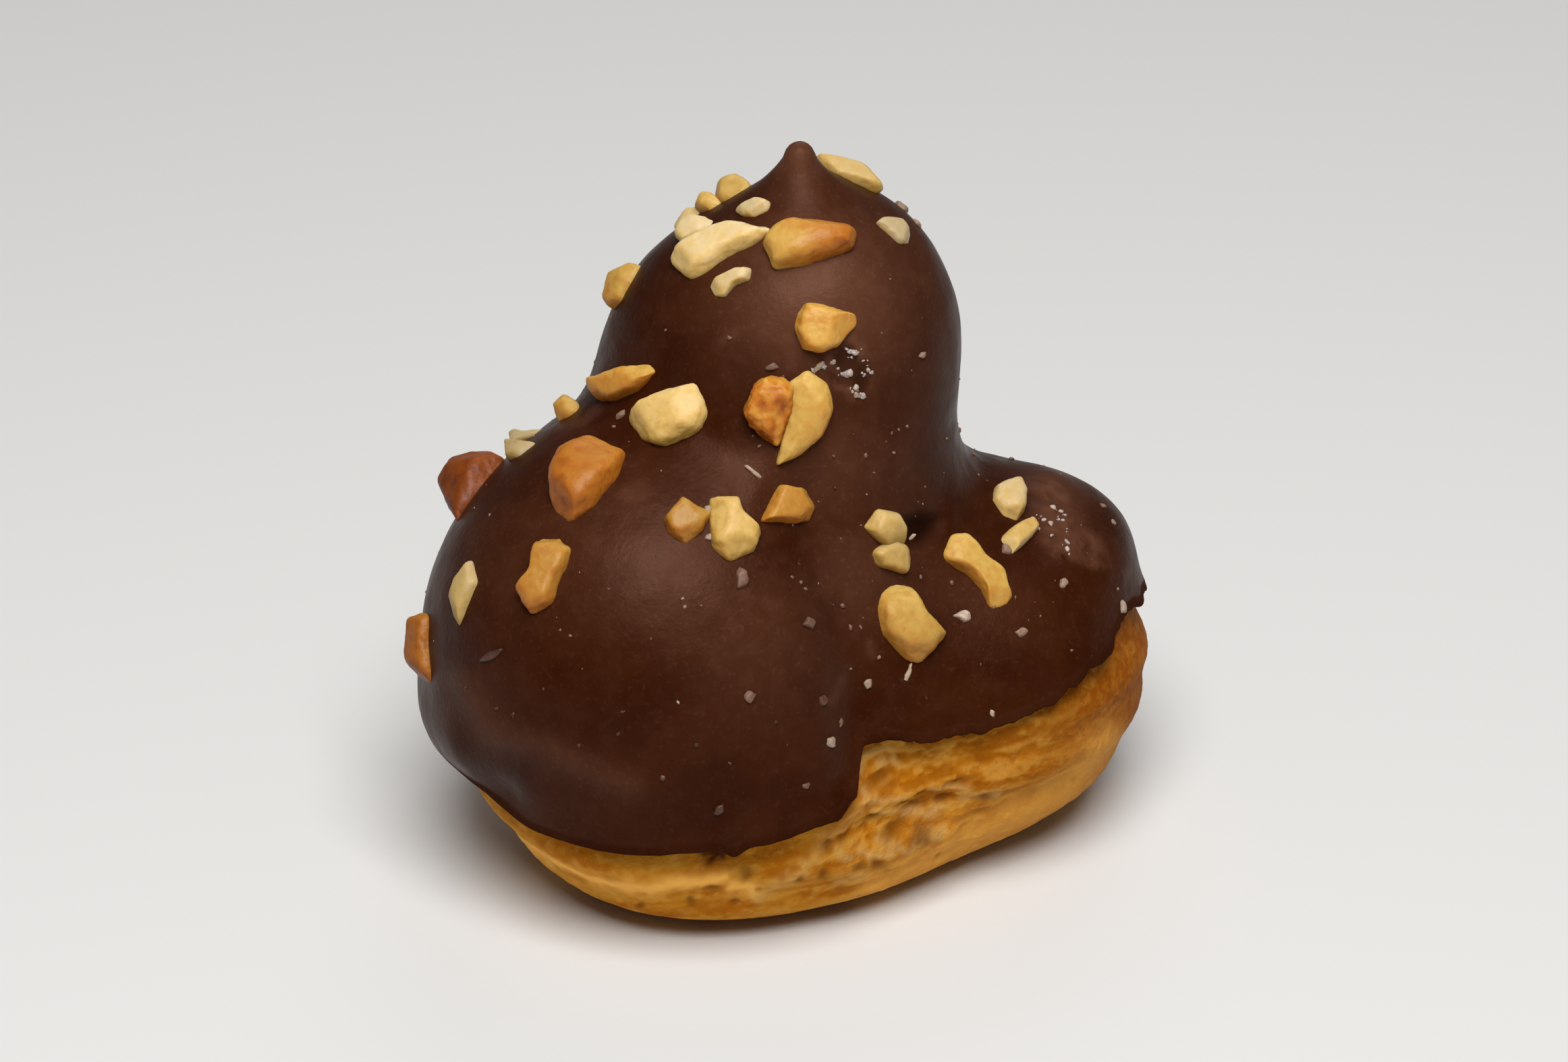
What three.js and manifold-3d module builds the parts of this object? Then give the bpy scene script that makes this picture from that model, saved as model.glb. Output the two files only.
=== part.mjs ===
// A profiterole: a solid choux bun under a chocolate coat that is set with chopped nuts.
// Millimetres, +Z up, front towards -Y, origin on the resting face below the middle of the bun.
import * as THREE from 'three';
import { mergeVertices } from 'three/addons/utils/BufferGeometryUtils.js';
import Module from 'manifold-3d';

const wasm = await Module();
wasm.setup();

const { degToRad, clamp, smoothstep, lerp } = THREE.MathUtils;

// Driving dimensions
const coatThickness = 1.0;
const coatGap = 0.3;
const rimBulge = 0.5;
const rimTuck = 2.5;
const rimProfile = [
  { inset: 0.15 * coatThickness, bulge: 0.7 },
  { inset: 0.5 * coatThickness, bulge: 1.0 },
  { inset: coatThickness, bulge: 0.7 },
  { inset: coatThickness + rimTuck, bulge: 0 },
];
const lobeBlend = 2.0;
const footBlend = 3.0;
const flatSpotDepth = 0.05;

// Lobes of the piped dough as coated: centre, half-axes and turn about Z in degrees
const lobes = [
  { name: 'main lobe, front left', centre: [-8.0, -3.8, 15.4], half: [15.7, 15.4, 15.5], turn: 0 },
  { name: 'right lobe', centre: [11.8, 2.0, 12.0], half: [12.6, 12.8, 10.1], turn: 20 },
  { name: 'bump on the right lobe', centre: [17.2, 4.4, 17.2], half: [5.0, 5.4, 4.4], turn: 0 },
  { name: 'core', centre: [2.0, 2.0, 16.5], half: [11.0, 11.5, 12.5], turn: 0 },
  { name: 'back left lobe', centre: [-5.5, 9.5, 17.5], half: [10.0, 9.5, 12.0], turn: 0 },
  { name: 'back right lobe', centre: [6.0, 8.6, 11.2], half: [12.0, 11.0, 9.2], turn: 0 },
  { name: 'knob', centre: [1.0, 3.0, 34.2], half: [10.0, 9.4, 9.2], turn: 0 },
  { name: 'left shoulder of the knob', centre: [-4.6, 4.5, 31.6], half: [6.6, 7.0, 6.8], turn: 0 },
  { name: 'right shoulder of the knob', centre: [2.9, 3.0, 38.8], half: [4.9, 5.2, 4.2], turn: 0 },
  { name: 'neck', centre: [1.6, 0.6, 27.0], half: [7.8, 8.2, 7.0], turn: 0 },
  { name: 'base', centre: [1.6, -1.2, 7.1], half: [21.2, 15.0, 11.5], turn: 33 },
  { name: 'foot of the main lobe', centre: [-4.2, -6.0, 6.6], half: [11.8, 11.2, 10.0], turn: 0 },
  { name: 'foot of the right lobe', centre: [12.0, 3.4, 8.0], half: [11.6, 11.0, 8.7], turn: 0 },
];
const tip = {
  foot: [0.8, 3.0, 36.5], end: [1.0, 3.0, 46.9], footRadius: 7.0, endRadius: 1.0, taper: 0.85, blend: 3.0,
};

// Folds in the dough: a line over the surface, half its width, and its depth, less than 0 for a swelling
const folds = [
  {
    name: 'crease between main and right lobe',
    line: [
      [1.6, -9.4, 28.8], [2.4, -10.5, 26.6], [3.8, -12.2, 22.8], [4.8, -13.8, 18.4], [5.0, -16.0, 12.8],
    ],
    half: 1.9,
    depth: 0.9,
  },
  {
    name: 'ledge on the left',
    line: [[-23.0, -1.0, 11.8], [-23.4, -7.0, 11.8], [-21.2, -12.4, 12.8]],
    half: 2.4,
    depth: -0.6,
  },
  {
    name: 'pinch under the ledge',
    line: [[-22.0, -5.5, 8.4], [-20.8, -11.0, 9.4], [-17.5, -15.6, 10.6]],
    half: 1.5,
    depth: 0.4,
  },
  {
    name: 'flat edge on the far right',
    line: [[23.0, -5.0, 16.8], [24.0, 2.0, 16.6], [23.2, 8.0, 15.5]],
    half: 2.6,
    depth: 0.6,
  },
];

// Every surface is reached by rays from this point, which stands below the tip
const heart = new THREE.Vector3(1.1, 3.0, 20.0);
const nearReach = 2;
const farReach = 45;
const reachHalvings = 36;
const edgeSearch = { from: 60, to: 150, halvings: 18 };

// Height of the coat's edge round the bun, by bearing from +X in degrees, with the step at the front
const edgeKnots = [
  [-175, 10.2], [-142, 9.8], [-129, 8.9], [-118, 8.8], [-99, 9.5], [-84, 10.3], [-80, 11.4], [-77, 14.1],
  [-73, 14.2], [-61, 13.3], [-42, 13.9], [-27, 15.5], [-13, 16.8], [-5, 16.0], [25, 13.2], [60, 10.0],
  [85, 11.8], [115, 8.8], [150, 10.2],
];

// Marks in the bare crust: bearing in degrees and height at each end, then width and depth
const crustRadius = 20;
const crustMarks = [
  { name: 'ridge below the step', from: [-79, 10.2], to: [-99, 3.2], width: 0.9, depth: -0.45 },
  { name: 'torn hollow right of the ridge', from: [-76, 8.0], to: [-58, 7.4], width: 2.0, depth: 0.5 },
  { name: 'cavity by the step', from: [-74, 12.2], to: [-70, 11.4], width: 1.4, depth: 1.0 },
  { name: 'crack on the right', from: [-30, 7.0], to: [-52, 5.2], width: 1.0, depth: 0.4 },
  { name: 'crack on the far right', from: [20, 8.0], to: [48, 5.4], width: 1.1, depth: 0.6 },
  { name: 'swelling on the left', from: [-152, 8.6], to: [-118, 6.4], width: 2.4, depth: -0.5 },
  { name: 'crack at the back', from: [95, 6.6], to: [118, 4.2], width: 1.0, depth: 0.5 },
  { name: 'crack on the left', from: [160, 6.2], to: [186, 4.6], width: 1.0, depth: 0.5 },
];
const crustUnevenness = 0.25;

// The view that the nuts in front were read in: its target stands at the pixel named middle
const view = {
  elevation: degToRad(28), distance: 330, target: [0, 0, 21.5], middle: [1065, 1025], pixel: 0.1088,
};

// Nuts in front: thickness in mm, and the outline's corners as pixels of that view
const nutsInFront = [
  {
    thickness: 1.6,
    outline: [
      [1084, 798], [1090, 800], [1106, 802], [1117, 807], [1126, 818], [1121, 820], [1113, 817],
      [1096, 812], [1087, 804],
    ],
  },
  {
    thickness: 1.6,
    outline: [
      [1022, 818], [1029, 813], [1038, 811], [1045, 816], [1047, 820], [1044, 827], [1038, 829],
      [1030, 830], [1024, 827],
    ],
  },
  {
    thickness: 1.4,
    outline: [
      [1011, 829], [1017, 822], [1024, 824], [1030, 830], [1029, 836], [1022, 836], [1015, 833],
    ],
  },
  {
    thickness: 1.0,
    outline: [
      [997, 838], [1006, 830], [1016, 829], [1019, 834], [1007, 837], [999, 842],
    ],
  },
  {
    thickness: 1.3,
    outline: [
      [1000, 848], [1003, 840], [1010, 836], [1019, 837], [1025, 841], [1016, 848], [1005, 852],
    ],
  },
  {
    thickness: 1.0,
    outline: [
      [1036, 832], [1042, 828], [1050, 825], [1057, 827], [1055, 832], [1047, 836], [1040, 835],
    ],
  },
  {
    thickness: 2.0,
    outline: [
      [997, 860], [1003, 854], [1026, 843], [1040, 839], [1051, 839], [1055, 844], [1048, 851], [1030, 860],
      [1019, 868], [1010, 872], [1000, 866],
    ],
  },
  {
    thickness: 2.6,
    outline: [
      [1053, 851], [1060, 842], [1075, 836], [1087, 836], [1101, 838], [1107, 846], [1106, 854],
      [1092, 860], [1077, 865], [1060, 866], [1056, 858],
    ],
  },
  {
    thickness: 1.2,
    outline: [
      [1020, 878], [1025, 873], [1038, 867], [1045, 867], [1044, 874], [1036, 877], [1030, 884],
      [1023, 883],
    ],
  },
  {
    thickness: 1.0,
    outline: [
      [1120, 840], [1124, 837], [1135, 838], [1141, 845], [1141, 851], [1134, 852], [1128, 847],
    ],
  },
  {
    thickness: 2.6,
    outline: [
      [1074, 895], [1078, 888], [1088, 889], [1100, 893], [1108, 895], [1108, 901], [1097, 913],
      [1087, 917], [1077, 915], [1072, 903],
    ],
  },
  {
    thickness: 1.8,
    outline: [
      [958, 887], [962, 870], [974, 864], [981, 867], [979, 877], [971, 889], [962, 892],
    ],
  },
  {
    thickness: 1.9,
    outline: [
      [948, 933], [954, 932], [969, 927], [984, 925], [987, 930], [978, 940], [963, 947], [954, 946],
      [950, 940],
    ],
  },
  { thickness: 1.4, outline: [[927, 951], [934, 944], [940, 947], [946, 954], [939, 959], [930, 961]] },
  { thickness: 0.7, outline: [[896, 960], [906, 963], [925, 961], [924, 965], [911, 967], [897, 970]] },
  { thickness: 1.2, outline: [[897, 971], [906, 972], [918, 974], [911, 984], [898, 982]] },
  {
    thickness: 2.4,
    outline: [
      [971, 958], [978, 948], [993, 942], [1014, 936], [1018, 953], [1014, 964], [994, 975], [981, 971],
    ],
  },
  {
    thickness: 2.6,
    outline: [
      [1041, 951], [1046, 940], [1054, 931], [1064, 933], [1071, 940], [1070, 953], [1066, 963],
      [1061, 973], [1052, 968], [1045, 960],
    ],
  },
  {
    thickness: 1.9,
    outline: [
      [1068, 937], [1080, 928], [1091, 937], [1094, 951], [1088, 967], [1076, 977], [1060, 985],
      [1065, 966], [1069, 951],
    ],
  },
  {
    thickness: 2.8,
    outline: [
      [925, 993], [931, 980], [948, 971], [969, 978], [963, 993], [949, 1010], [936, 1018], [926, 1013],
    ],
  },
  {
    thickness: 2.4,
    outline: [
      [852, 993], [862, 975], [878, 970], [890, 976], [888, 986], [878, 1003], [867, 1020], [858, 1006],
    ],
  },
  {
    thickness: 1.9,
    outline: [
      [993, 1018], [1003, 1006], [1012, 1012], [1021, 1014], [1016, 1025], [1006, 1032], [996, 1026],
    ],
  },
  {
    thickness: 2.3,
    outline: [
      [1021, 1006], [1036, 1006], [1039, 1015], [1050, 1025], [1047, 1036], [1032, 1043], [1022, 1034],
      [1020, 1019],
    ],
  },
  {
    thickness: 2.0,
    outline: [
      [1052, 1019], [1061, 998], [1077, 1001], [1082, 1010], [1080, 1019], [1070, 1020],
    ],
  },
  {
    thickness: 1.9,
    outline: [
      [920, 1026], [928, 1026], [930, 1033], [936, 1036], [934, 1046], [930, 1053], [925, 1068],
      [913, 1074], [905, 1061], [915, 1049], [915, 1038],
    ],
  },
  {
    thickness: 1.2,
    outline: [
      [869, 1053], [876, 1043], [881, 1056], [875, 1071], [869, 1083], [864, 1079], [865, 1066],
    ],
  },
  {
    thickness: 1.8,
    outline: [
      [841, 1077], [847, 1074], [854, 1077], [855, 1094], [858, 1112], [855, 1120], [847, 1117],
      [840, 1102],
    ],
  },
  {
    thickness: 1.5,
    outline: [
      [1113, 1022], [1121, 1012], [1133, 1014], [1137, 1022], [1137, 1033], [1131, 1037], [1124, 1033],
      [1119, 1029],
    ],
  },
  {
    thickness: 1.5,
    outline: [
      [1118, 1038], [1124, 1033], [1131, 1030], [1138, 1034], [1142, 1042], [1137, 1051], [1130, 1049],
      [1121, 1046],
    ],
  },
  {
    thickness: 1.8,
    outline: [
      [1191, 1000], [1197, 997], [1207, 995], [1211, 1004], [1209, 1014], [1204, 1020], [1196, 1016],
      [1190, 1008],
    ],
  },
  {
    thickness: 1.3,
    outline: [
      [1194, 1033], [1197, 1027], [1207, 1021], [1216, 1017], [1219, 1023], [1213, 1030], [1202, 1039],
      [1196, 1036],
    ],
  },
  {
    thickness: 1.9,
    outline: [
      [1158, 1039], [1164, 1028], [1173, 1027], [1179, 1033], [1184, 1041], [1197, 1050], [1199, 1061],
      [1202, 1065], [1196, 1073], [1188, 1071], [1184, 1061], [1175, 1051], [1161, 1044],
    ],
  },
  {
    thickness: 2.4,
    outline: [
      [1121, 1071], [1123, 1062], [1131, 1055], [1140, 1059], [1148, 1074], [1161, 1087], [1153, 1097],
      [1146, 1104], [1138, 1102], [1125, 1087],
    ],
  },
];

// Nuts out of that view: seeded draws for place, size and turn, denser towards the crown
const hiddenNuts = {
  tries: 260,
  polarFrom: 24,
  polarTo: 98,
  crowding: 1.3,
  mostFacing: -0.45,
  rise: 0.3,
  lengthFrom: 2.2,
  lengthTo: 5.6,
  shortness: 1.4,
  widthFrom: 0.5,
  widthTo: 0.8,
  spacing: 3.2,
};
const nutCorners = 7;
const nutThickness = 0.72;
const nutSink = 0.36;
const nutTaper = 0.2;
const leastFacing = 0.65;

// Facets: sides round the axis, and rings from the top down to a polar angle in degrees
const bunSides = 60;
const bunBands = [
  { rings: 12, to: 100 },
  { rings: 13, to: 150 },
  { rings: 4, to: 180 },
];
const coatSides = 60;
const coatRings = 25;
const tipCrowding = 1.25;

// A repeatable draw between 0 and 1
function draw(seed) {
  const value = Math.sin(seed * 12.9898 + 78.233) * 43758.5453;
  return value - Math.floor(value);
}

function smoothMin(a, b, blend) {
  const share = clamp(0.5 + 0.5 * (a - b) / blend, 0, 1);
  return lerp(a, b, share) - blend * share * (1 - share);
}

function ellipsoidDistance(point, lobe) {
  const turn = degToRad(lobe.turn);
  const dx = point.x - lobe.centre[0];
  const dy = point.y - lobe.centre[1];
  const x = dx * Math.cos(turn) + dy * Math.sin(turn);
  const y = dy * Math.cos(turn) - dx * Math.sin(turn);
  const z = point.z - lobe.centre[2];
  const [a, b, c] = lobe.half;
  const scaled = Math.hypot(x / a, y / b, z / c);
  const slope = Math.hypot(x / a ** 2, y / b ** 2, z / c ** 2) + 1e-9;
  return scaled * (scaled - 1) / slope;
}

// The pulled-up tip: a cone with a curved side that ends in a small round
function tipDistance(point) {
  const foot = new THREE.Vector3(...tip.foot);
  const axis = new THREE.Vector3(...tip.end).sub(foot);
  const along = clamp(point.clone().sub(foot).dot(axis) / axis.lengthSq(), 0, 1);
  const radius = lerp(tip.footRadius, tip.endRadius, along ** tip.taper);
  return foot.addScaledVector(axis, along).distanceTo(point) - radius;
}

function lineDistance(point, line) {
  let nearest = Infinity;
  for (let index = 1; index < line.length; index += 1) {
    const [startX, startY, startZ] = line[index - 1];
    const [endX, endY, endZ] = line[index];
    const [runX, runY, runZ] = [endX - startX, endY - startY, endZ - startZ];
    const [x, y, z] = [point.x - startX, point.y - startY, point.z - startZ];
    const along = clamp((x * runX + y * runY + z * runZ) / (runX ** 2 + runY ** 2 + runZ ** 2), 0, 1);
    nearest = Math.min(nearest, Math.hypot(x - along * runX, y - along * runY, z - along * runZ));
  }
  return nearest;
}

function foldDepth(point) {
  let depth = 0;
  for (const fold of folds) {
    depth += fold.depth * Math.exp(-((lineDistance(point, fold.line) / fold.half) ** 2));
  }
  return depth;
}

// Distance to the form, drawn in by an inset: lobes run together, then tip, folds and the flat foot
function form(point, inset = 0) {
  let sum = 1e-30;
  for (const lobe of lobes) {
    sum += Math.exp(-ellipsoidDistance(point, lobe) / lobeBlend);
  }
  const body = smoothMin(-lobeBlend * Math.log(sum), tipDistance(point), tip.blend);
  return -smoothMin(-body - inset - foldDepth(point), point.z, footBlend);
}

function formNormal(point) {
  const step = 0.05;
  const shifted = (axis, by) => form(point.clone().setComponent(axis, point.getComponent(axis) + by));
  const slopes = [0, 1, 2].map((axis) => shifted(axis, step) - shifted(axis, -step));
  return new THREE.Vector3(...slopes).normalize();
}

function rayFromHeart(polar, bearing) {
  const level = Math.sin(polar);
  return new THREE.Vector3(level * Math.cos(bearing), level * Math.sin(bearing), Math.cos(polar));
}

// The point where a ray from the heart leaves the form
function surfacePoint(ray, inset = 0) {
  let near = nearReach;
  let far = farReach;
  for (let step = 0; step < reachHalvings; step += 1) {
    const middle = (near + far) / 2;
    if (form(heart.clone().addScaledVector(ray, middle), inset) < 0) {
      near = middle;
    } else {
      far = middle;
    }
  }
  return heart.clone().addScaledVector(ray, near);
}

function bearingOf(point) {
  return Math.atan2(point.y - heart.y, point.x - heart.x);
}

// Height of the coat's edge at a bearing, eased from one knot to the next
function edgeHeight(bearing) {
  const first = edgeKnots[0][0];
  const degrees = first + THREE.MathUtils.euclideanModulo(THREE.MathUtils.radToDeg(bearing) - first, 360);
  let index = edgeKnots.length - 1;
  while (edgeKnots[index][0] > degrees) {
    index -= 1;
  }
  const [from, height] = edgeKnots[index];
  const [to, nextHeight] = edgeKnots[index + 1] ?? [first + 360, edgeKnots[0][1]];
  return lerp(height, nextHeight, smoothstep(degrees, from, to));
}

// Polar angle at which the coat's outer face comes down to its edge
function edgePolar(bearing) {
  const height = edgeHeight(bearing);
  let upper = degToRad(edgeSearch.from);
  let lower = degToRad(edgeSearch.to);
  for (let step = 0; step < edgeSearch.halvings; step += 1) {
    const middle = (upper + lower) / 2;
    if (surfacePoint(rayFromHeart(middle, bearing)).z > height) {
      upper = middle;
    } else {
      lower = middle;
    }
  }
  return upper;
}

// Distance on the unrolled crust from a point to a mark
function markDistance(point, mark) {
  const unrolled = ([degrees, height]) => new THREE.Vector2(degToRad(degrees) * crustRadius, height);
  const start = unrolled(mark.from);
  const line = unrolled(mark.to).sub(start);
  const middle = start.x + line.x / 2;
  const turn = 2 * Math.PI * crustRadius;
  const across = bearingOf(point) * crustRadius;
  const here = new THREE.Vector2(across + turn * Math.round((middle - across) / turn), point.z);
  const along = clamp(here.clone().sub(start).dot(line) / line.lengthSq(), 0, 1);
  return start.addScaledVector(line, along).distanceTo(here);
}

// Depth of the crust's relief, which fades out under the coat and on the resting face
function crustRelief(point) {
  const bearing = bearingOf(point);
  const bare = 1 - smoothstep(point.z, edgeHeight(bearing) - 1.2, edgeHeight(bearing) + 0.3);
  const clearOfFloor = smoothstep(point.z, 0.5, 2.5);
  const swell = Math.sin(5 * bearing + 0.9 * point.z) * Math.sin(0.7 * point.z - 3 * bearing);
  let depth = crustUnevenness * swell;
  for (const mark of crustMarks) {
    depth += mark.depth * Math.exp(-((markDistance(point, mark) / mark.width) ** 2));
  }
  return depth * bare * clearOfFloor;
}

// A point of the bun's skin, or of the same skin grown outwards, flat where it rests
function bunPoint(polar, bearing, grown) {
  const ray = rayFromHeart(polar, bearing);
  const inset = coatThickness + coatGap - grown;
  const relief = crustRelief(surfacePoint(ray, inset));
  const point = surfacePoint(ray, inset + relief);
  if (point.z < flatSpotDepth) {
    point.z = 0;
  }
  return point;
}

function bandPolar(ring) {
  let polar = 0;
  let left = ring;
  for (const band of bunBands) {
    const share = Math.min(left / band.rings, 1);
    polar = lerp(polar, degToRad(band.to), share);
    left -= band.rings;
    if (left <= 0) {
      return polar;
    }
  }
  return polar;
}

// The coat's blank: outer face down to the edge, round the rim, then in to the heart
function coatPoint(ring, bearing) {
  if (ring <= coatRings) {
    const polar = edgePolar(bearing) * (ring / coatRings) ** tipCrowding;
    return surfacePoint(rayFromHeart(polar, bearing));
  }
  const rim = rimProfile[ring - coatRings - 1];
  if (!rim) {
    return heart.clone();
  }
  const polar = edgePolar(bearing);
  const edge = surfacePoint(rayFromHeart(polar, bearing));
  const drop = rimBulge * rim.bulge / edge.distanceTo(heart);
  return surfacePoint(rayFromHeart(polar + drop, bearing), rim.inset);
}
const coatBlankRings = coatRings + rimProfile.length + 1;

function solidOf(geometry) {
  geometry.deleteAttribute('normal');
  geometry.deleteAttribute('uv');
  const merged = mergeVertices(geometry);
  const vertProperties = new Float32Array(merged.attributes.position.array);
  const triVerts = new Uint32Array(merged.index.array);
  return new wasm.Manifold(new wasm.Mesh({ numProp: 3, vertProperties, triVerts }));
}

// A unit sphere whose vertices are put where place(ring, bearing) says
function wrappedSphere(sides, rings, place) {
  const geometry = new THREE.SphereGeometry(1, sides, rings).rotateX(Math.PI / 2);
  const position = geometry.attributes.position;
  const vertex = new THREE.Vector3();
  for (let index = 0; index < position.count; index += 1) {
    vertex.fromBufferAttribute(position, index);
    const ring = Math.round(rings * Math.acos(clamp(vertex.z, -1, 1)) / Math.PI);
    const placed = place(ring, Math.atan2(vertex.y, vertex.x));
    position.setXYZ(index, placed.x, placed.y, placed.z);
  }
  return solidOf(geometry);
}

function bunSolid(grown) {
  const rings = bunBands.reduce((total, band) => total + band.rings, 0);
  return wrappedSphere(bunSides, rings, (ring, bearing) => bunPoint(bandPolar(ring), bearing, grown));
}

const towardsViewer = new THREE.Vector3(0, -Math.cos(view.elevation), Math.sin(view.elevation));
const viewRight = new THREE.Vector3(1, 0, 0);
const viewUp = new THREE.Vector3(0, Math.sin(view.elevation), Math.cos(view.elevation));
const eye = new THREE.Vector3(...view.target).addScaledVector(towardsViewer, view.distance);

// Where the sight line through a pixel meets the coat, or comes closest to it
function seenPoint([across, down]) {
  const sight = towardsViewer.clone().multiplyScalar(-view.distance)
    .addScaledVector(viewRight, (across - view.middle[0]) * view.pixel)
    .addScaledVector(viewUp, (view.middle[1] - down) * view.pixel)
    .normalize();
  const searchDepth = 60;
  let reach = view.distance - searchDepth;
  let closest = eye.clone().addScaledVector(sight, reach);
  while (reach < view.distance + searchDepth && form(closest) > 0.01) {
    const point = eye.clone().addScaledVector(sight, reach);
    if (form(point) < form(closest)) {
      closest = point;
    }
    reach += Math.max(0.6 * form(point), 0.05);
  }
  return closest.addScaledVector(formNormal(closest), -form(closest));
}

// A chip of nut: a block that narrows to its top, pressed a little into the coat
function nutSolid({ point, normal, tangent, outline, thickness }) {
  const shape = new THREE.Shape(outline.map(([x, y]) => new THREE.Vector2(x, y)));
  const block = new THREE.ExtrudeGeometry(shape, { depth: thickness, bevelEnabled: false });
  const corners = block.attributes.position;
  for (let index = 0; index < corners.count; index += 1) {
    const narrowed = 1 - nutTaper * corners.getZ(index) / thickness;
    corners.setXY(index, corners.getX(index) * narrowed, corners.getY(index) * narrowed);
  }
  const side = normal.clone().cross(tangent);
  const foot = point.clone().addScaledVector(normal, -nutSink * thickness);
  block.applyMatrix4(new THREE.Matrix4().makeBasis(tangent, side, normal).setPosition(foot));
  return solidOf(block);
}

function middleOf(corners) {
  const middle = new THREE.Vector2();
  let area = 0;
  corners.forEach(([x, y], index) => {
    const [nextX, nextY] = corners[(index + 1) % corners.length];
    const cross = x * nextY - nextX * y;
    middle.add(new THREE.Vector2((x + nextX) * cross, (y + nextY) * cross));
    area += cross;
  });
  return middle.divideScalar(3 * area);
}

// A nut read in the view: its outline is laid back onto the slope that it lies on
function nutInFront({ thickness, outline }) {
  const middle = middleOf(outline);
  const point = seenPoint(middle.toArray());
  const normal = formNormal(point);
  const facing = normal.dot(towardsViewer);
  if (facing < leastFacing) {
    normal.addScaledVector(towardsViewer, -facing).setLength(Math.sqrt(1 - leastFacing ** 2));
    normal.addScaledVector(towardsViewer, leastFacing);
  }
  const tangent = viewRight.clone().projectOnPlane(normal).normalize();
  const side = normal.clone().cross(tangent);
  const laidBack = outline.map(([across, down]) => {
    const right = (across - middle.x) * view.pixel;
    const up = (middle.y - down) * view.pixel;
    const ahead = -(right * viewRight.dot(normal) + up * viewUp.dot(normal)) / normal.dot(towardsViewer);
    const corner = viewRight.clone().multiplyScalar(right).addScaledVector(viewUp, up)
      .addScaledVector(towardsViewer, ahead);
    return [corner.dot(tangent), corner.dot(side)];
  });
  return { point, normal, tangent, outline: laidBack, thickness };
}

// A nut by seeded draws: an uneven outline on the slope at a point
function seededNut(point, along, length, width, seed) {
  const normal = formNormal(point);
  const tangent = along.clone().projectOnPlane(normal).normalize();
  const outline = [];
  for (let corner = 0; corner < nutCorners; corner += 1) {
    const angle = 2 * Math.PI * (corner + 0.6 * (draw(seed + 31 * corner) - 0.5)) / nutCorners;
    const reach = lerp(0.85, 1.15, draw(seed + 37 * corner));
    outline.push([Math.cos(angle) * reach * length / 2, Math.sin(angle) * reach * width / 2]);
  }
  return { point, normal, tangent, outline, thickness: nutThickness * width };
}

// Nuts on the sides that the view doesn't reach, clear of one another
function nutsBehind(nutsSoFar) {
  const made = [];
  const top = Math.cos(degToRad(hiddenNuts.polarFrom));
  const bottom = Math.cos(degToRad(hiddenNuts.polarTo));
  for (let index = 0; index < hiddenNuts.tries; index += 1) {
    const height = lerp(top, bottom, draw(index + 500) ** hiddenNuts.crowding);
    const point = surfacePoint(rayFromHeart(Math.acos(height), 2 * Math.PI * draw(index + 700)));
    const outOfView = formNormal(point).dot(towardsViewer) < hiddenNuts.mostFacing;
    const clear = [...nutsSoFar, ...made].every((nut) => nut.point.distanceTo(point) > hiddenNuts.spacing);
    if (outOfView && clear) {
      const turn = 2 * Math.PI * draw(index + 200);
      const along = new THREE.Vector3(Math.cos(turn), Math.sin(turn), hiddenNuts.rise);
      const bias = draw(index + 300) ** hiddenNuts.shortness;
      const length = lerp(hiddenNuts.lengthFrom, hiddenNuts.lengthTo, bias);
      const width = length * lerp(hiddenNuts.widthFrom, hiddenNuts.widthTo, draw(index + 400));
      made.push(seededNut(point, along, length, width, index + 100));
    }
  }
  return made;
}

function coatSolid() {
  const inFront = nutsInFront.map(nutInFront);
  const nuts = [...inFront, ...nutsBehind(inFront)];
  let coat = wrappedSphere(coatSides, coatBlankRings, coatPoint);
  for (const nut of nuts) {
    coat = coat.add(nutSolid(nut));
  }
  return coat.subtract(bunSolid(coatGap));
}

function meshOf(name, solid, material) {
  const { vertProperties, triVerts } = solid.getMesh();
  const geometry = new THREE.BufferGeometry();
  geometry.setAttribute('position', new THREE.BufferAttribute(vertProperties, 3));
  geometry.setIndex(new THREE.BufferAttribute(triVerts, 1));
  geometry.computeVertexNormals();
  const mesh = new THREE.Mesh(geometry, material);
  mesh.name = name;
  return mesh;
}

const crust = new THREE.MeshStandardMaterial({ color: 0xb9782e, roughness: 0.75, metalness: 0 });
const chocolate = new THREE.MeshStandardMaterial({ color: 0x3a2118, roughness: 0.4, metalness: 0 });

const profiterole = new THREE.Group();
profiterole.name = 'profiterole';
profiterole.add(meshOf('choux_bun', bunSolid(0), crust));
profiterole.add(meshOf('chocolate_coat', coatSolid(), chocolate));

// The middle of the whole stands over the origin
const middle = new THREE.Box3().setFromObject(profiterole).getCenter(new THREE.Vector3());
profiterole.position.set(-middle.x, -middle.y, 0);

export default profiterole;
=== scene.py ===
import math

import bmesh
import bpy
import numpy as np
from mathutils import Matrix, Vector, noise


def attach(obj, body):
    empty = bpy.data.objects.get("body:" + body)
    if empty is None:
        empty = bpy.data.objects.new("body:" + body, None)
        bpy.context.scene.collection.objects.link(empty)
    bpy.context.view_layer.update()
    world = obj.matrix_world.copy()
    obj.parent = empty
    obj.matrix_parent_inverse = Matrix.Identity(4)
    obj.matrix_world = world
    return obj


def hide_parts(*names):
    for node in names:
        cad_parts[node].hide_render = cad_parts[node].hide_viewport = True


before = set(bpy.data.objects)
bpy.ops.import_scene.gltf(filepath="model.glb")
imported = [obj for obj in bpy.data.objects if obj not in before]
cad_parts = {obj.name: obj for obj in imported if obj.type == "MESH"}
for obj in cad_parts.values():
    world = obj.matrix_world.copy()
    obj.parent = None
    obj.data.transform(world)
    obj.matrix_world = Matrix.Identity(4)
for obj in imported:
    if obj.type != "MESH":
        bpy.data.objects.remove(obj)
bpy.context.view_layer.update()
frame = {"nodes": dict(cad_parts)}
mm = 0.001
print("frame loaded:", ", ".join(frame["nodes"]))

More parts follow.
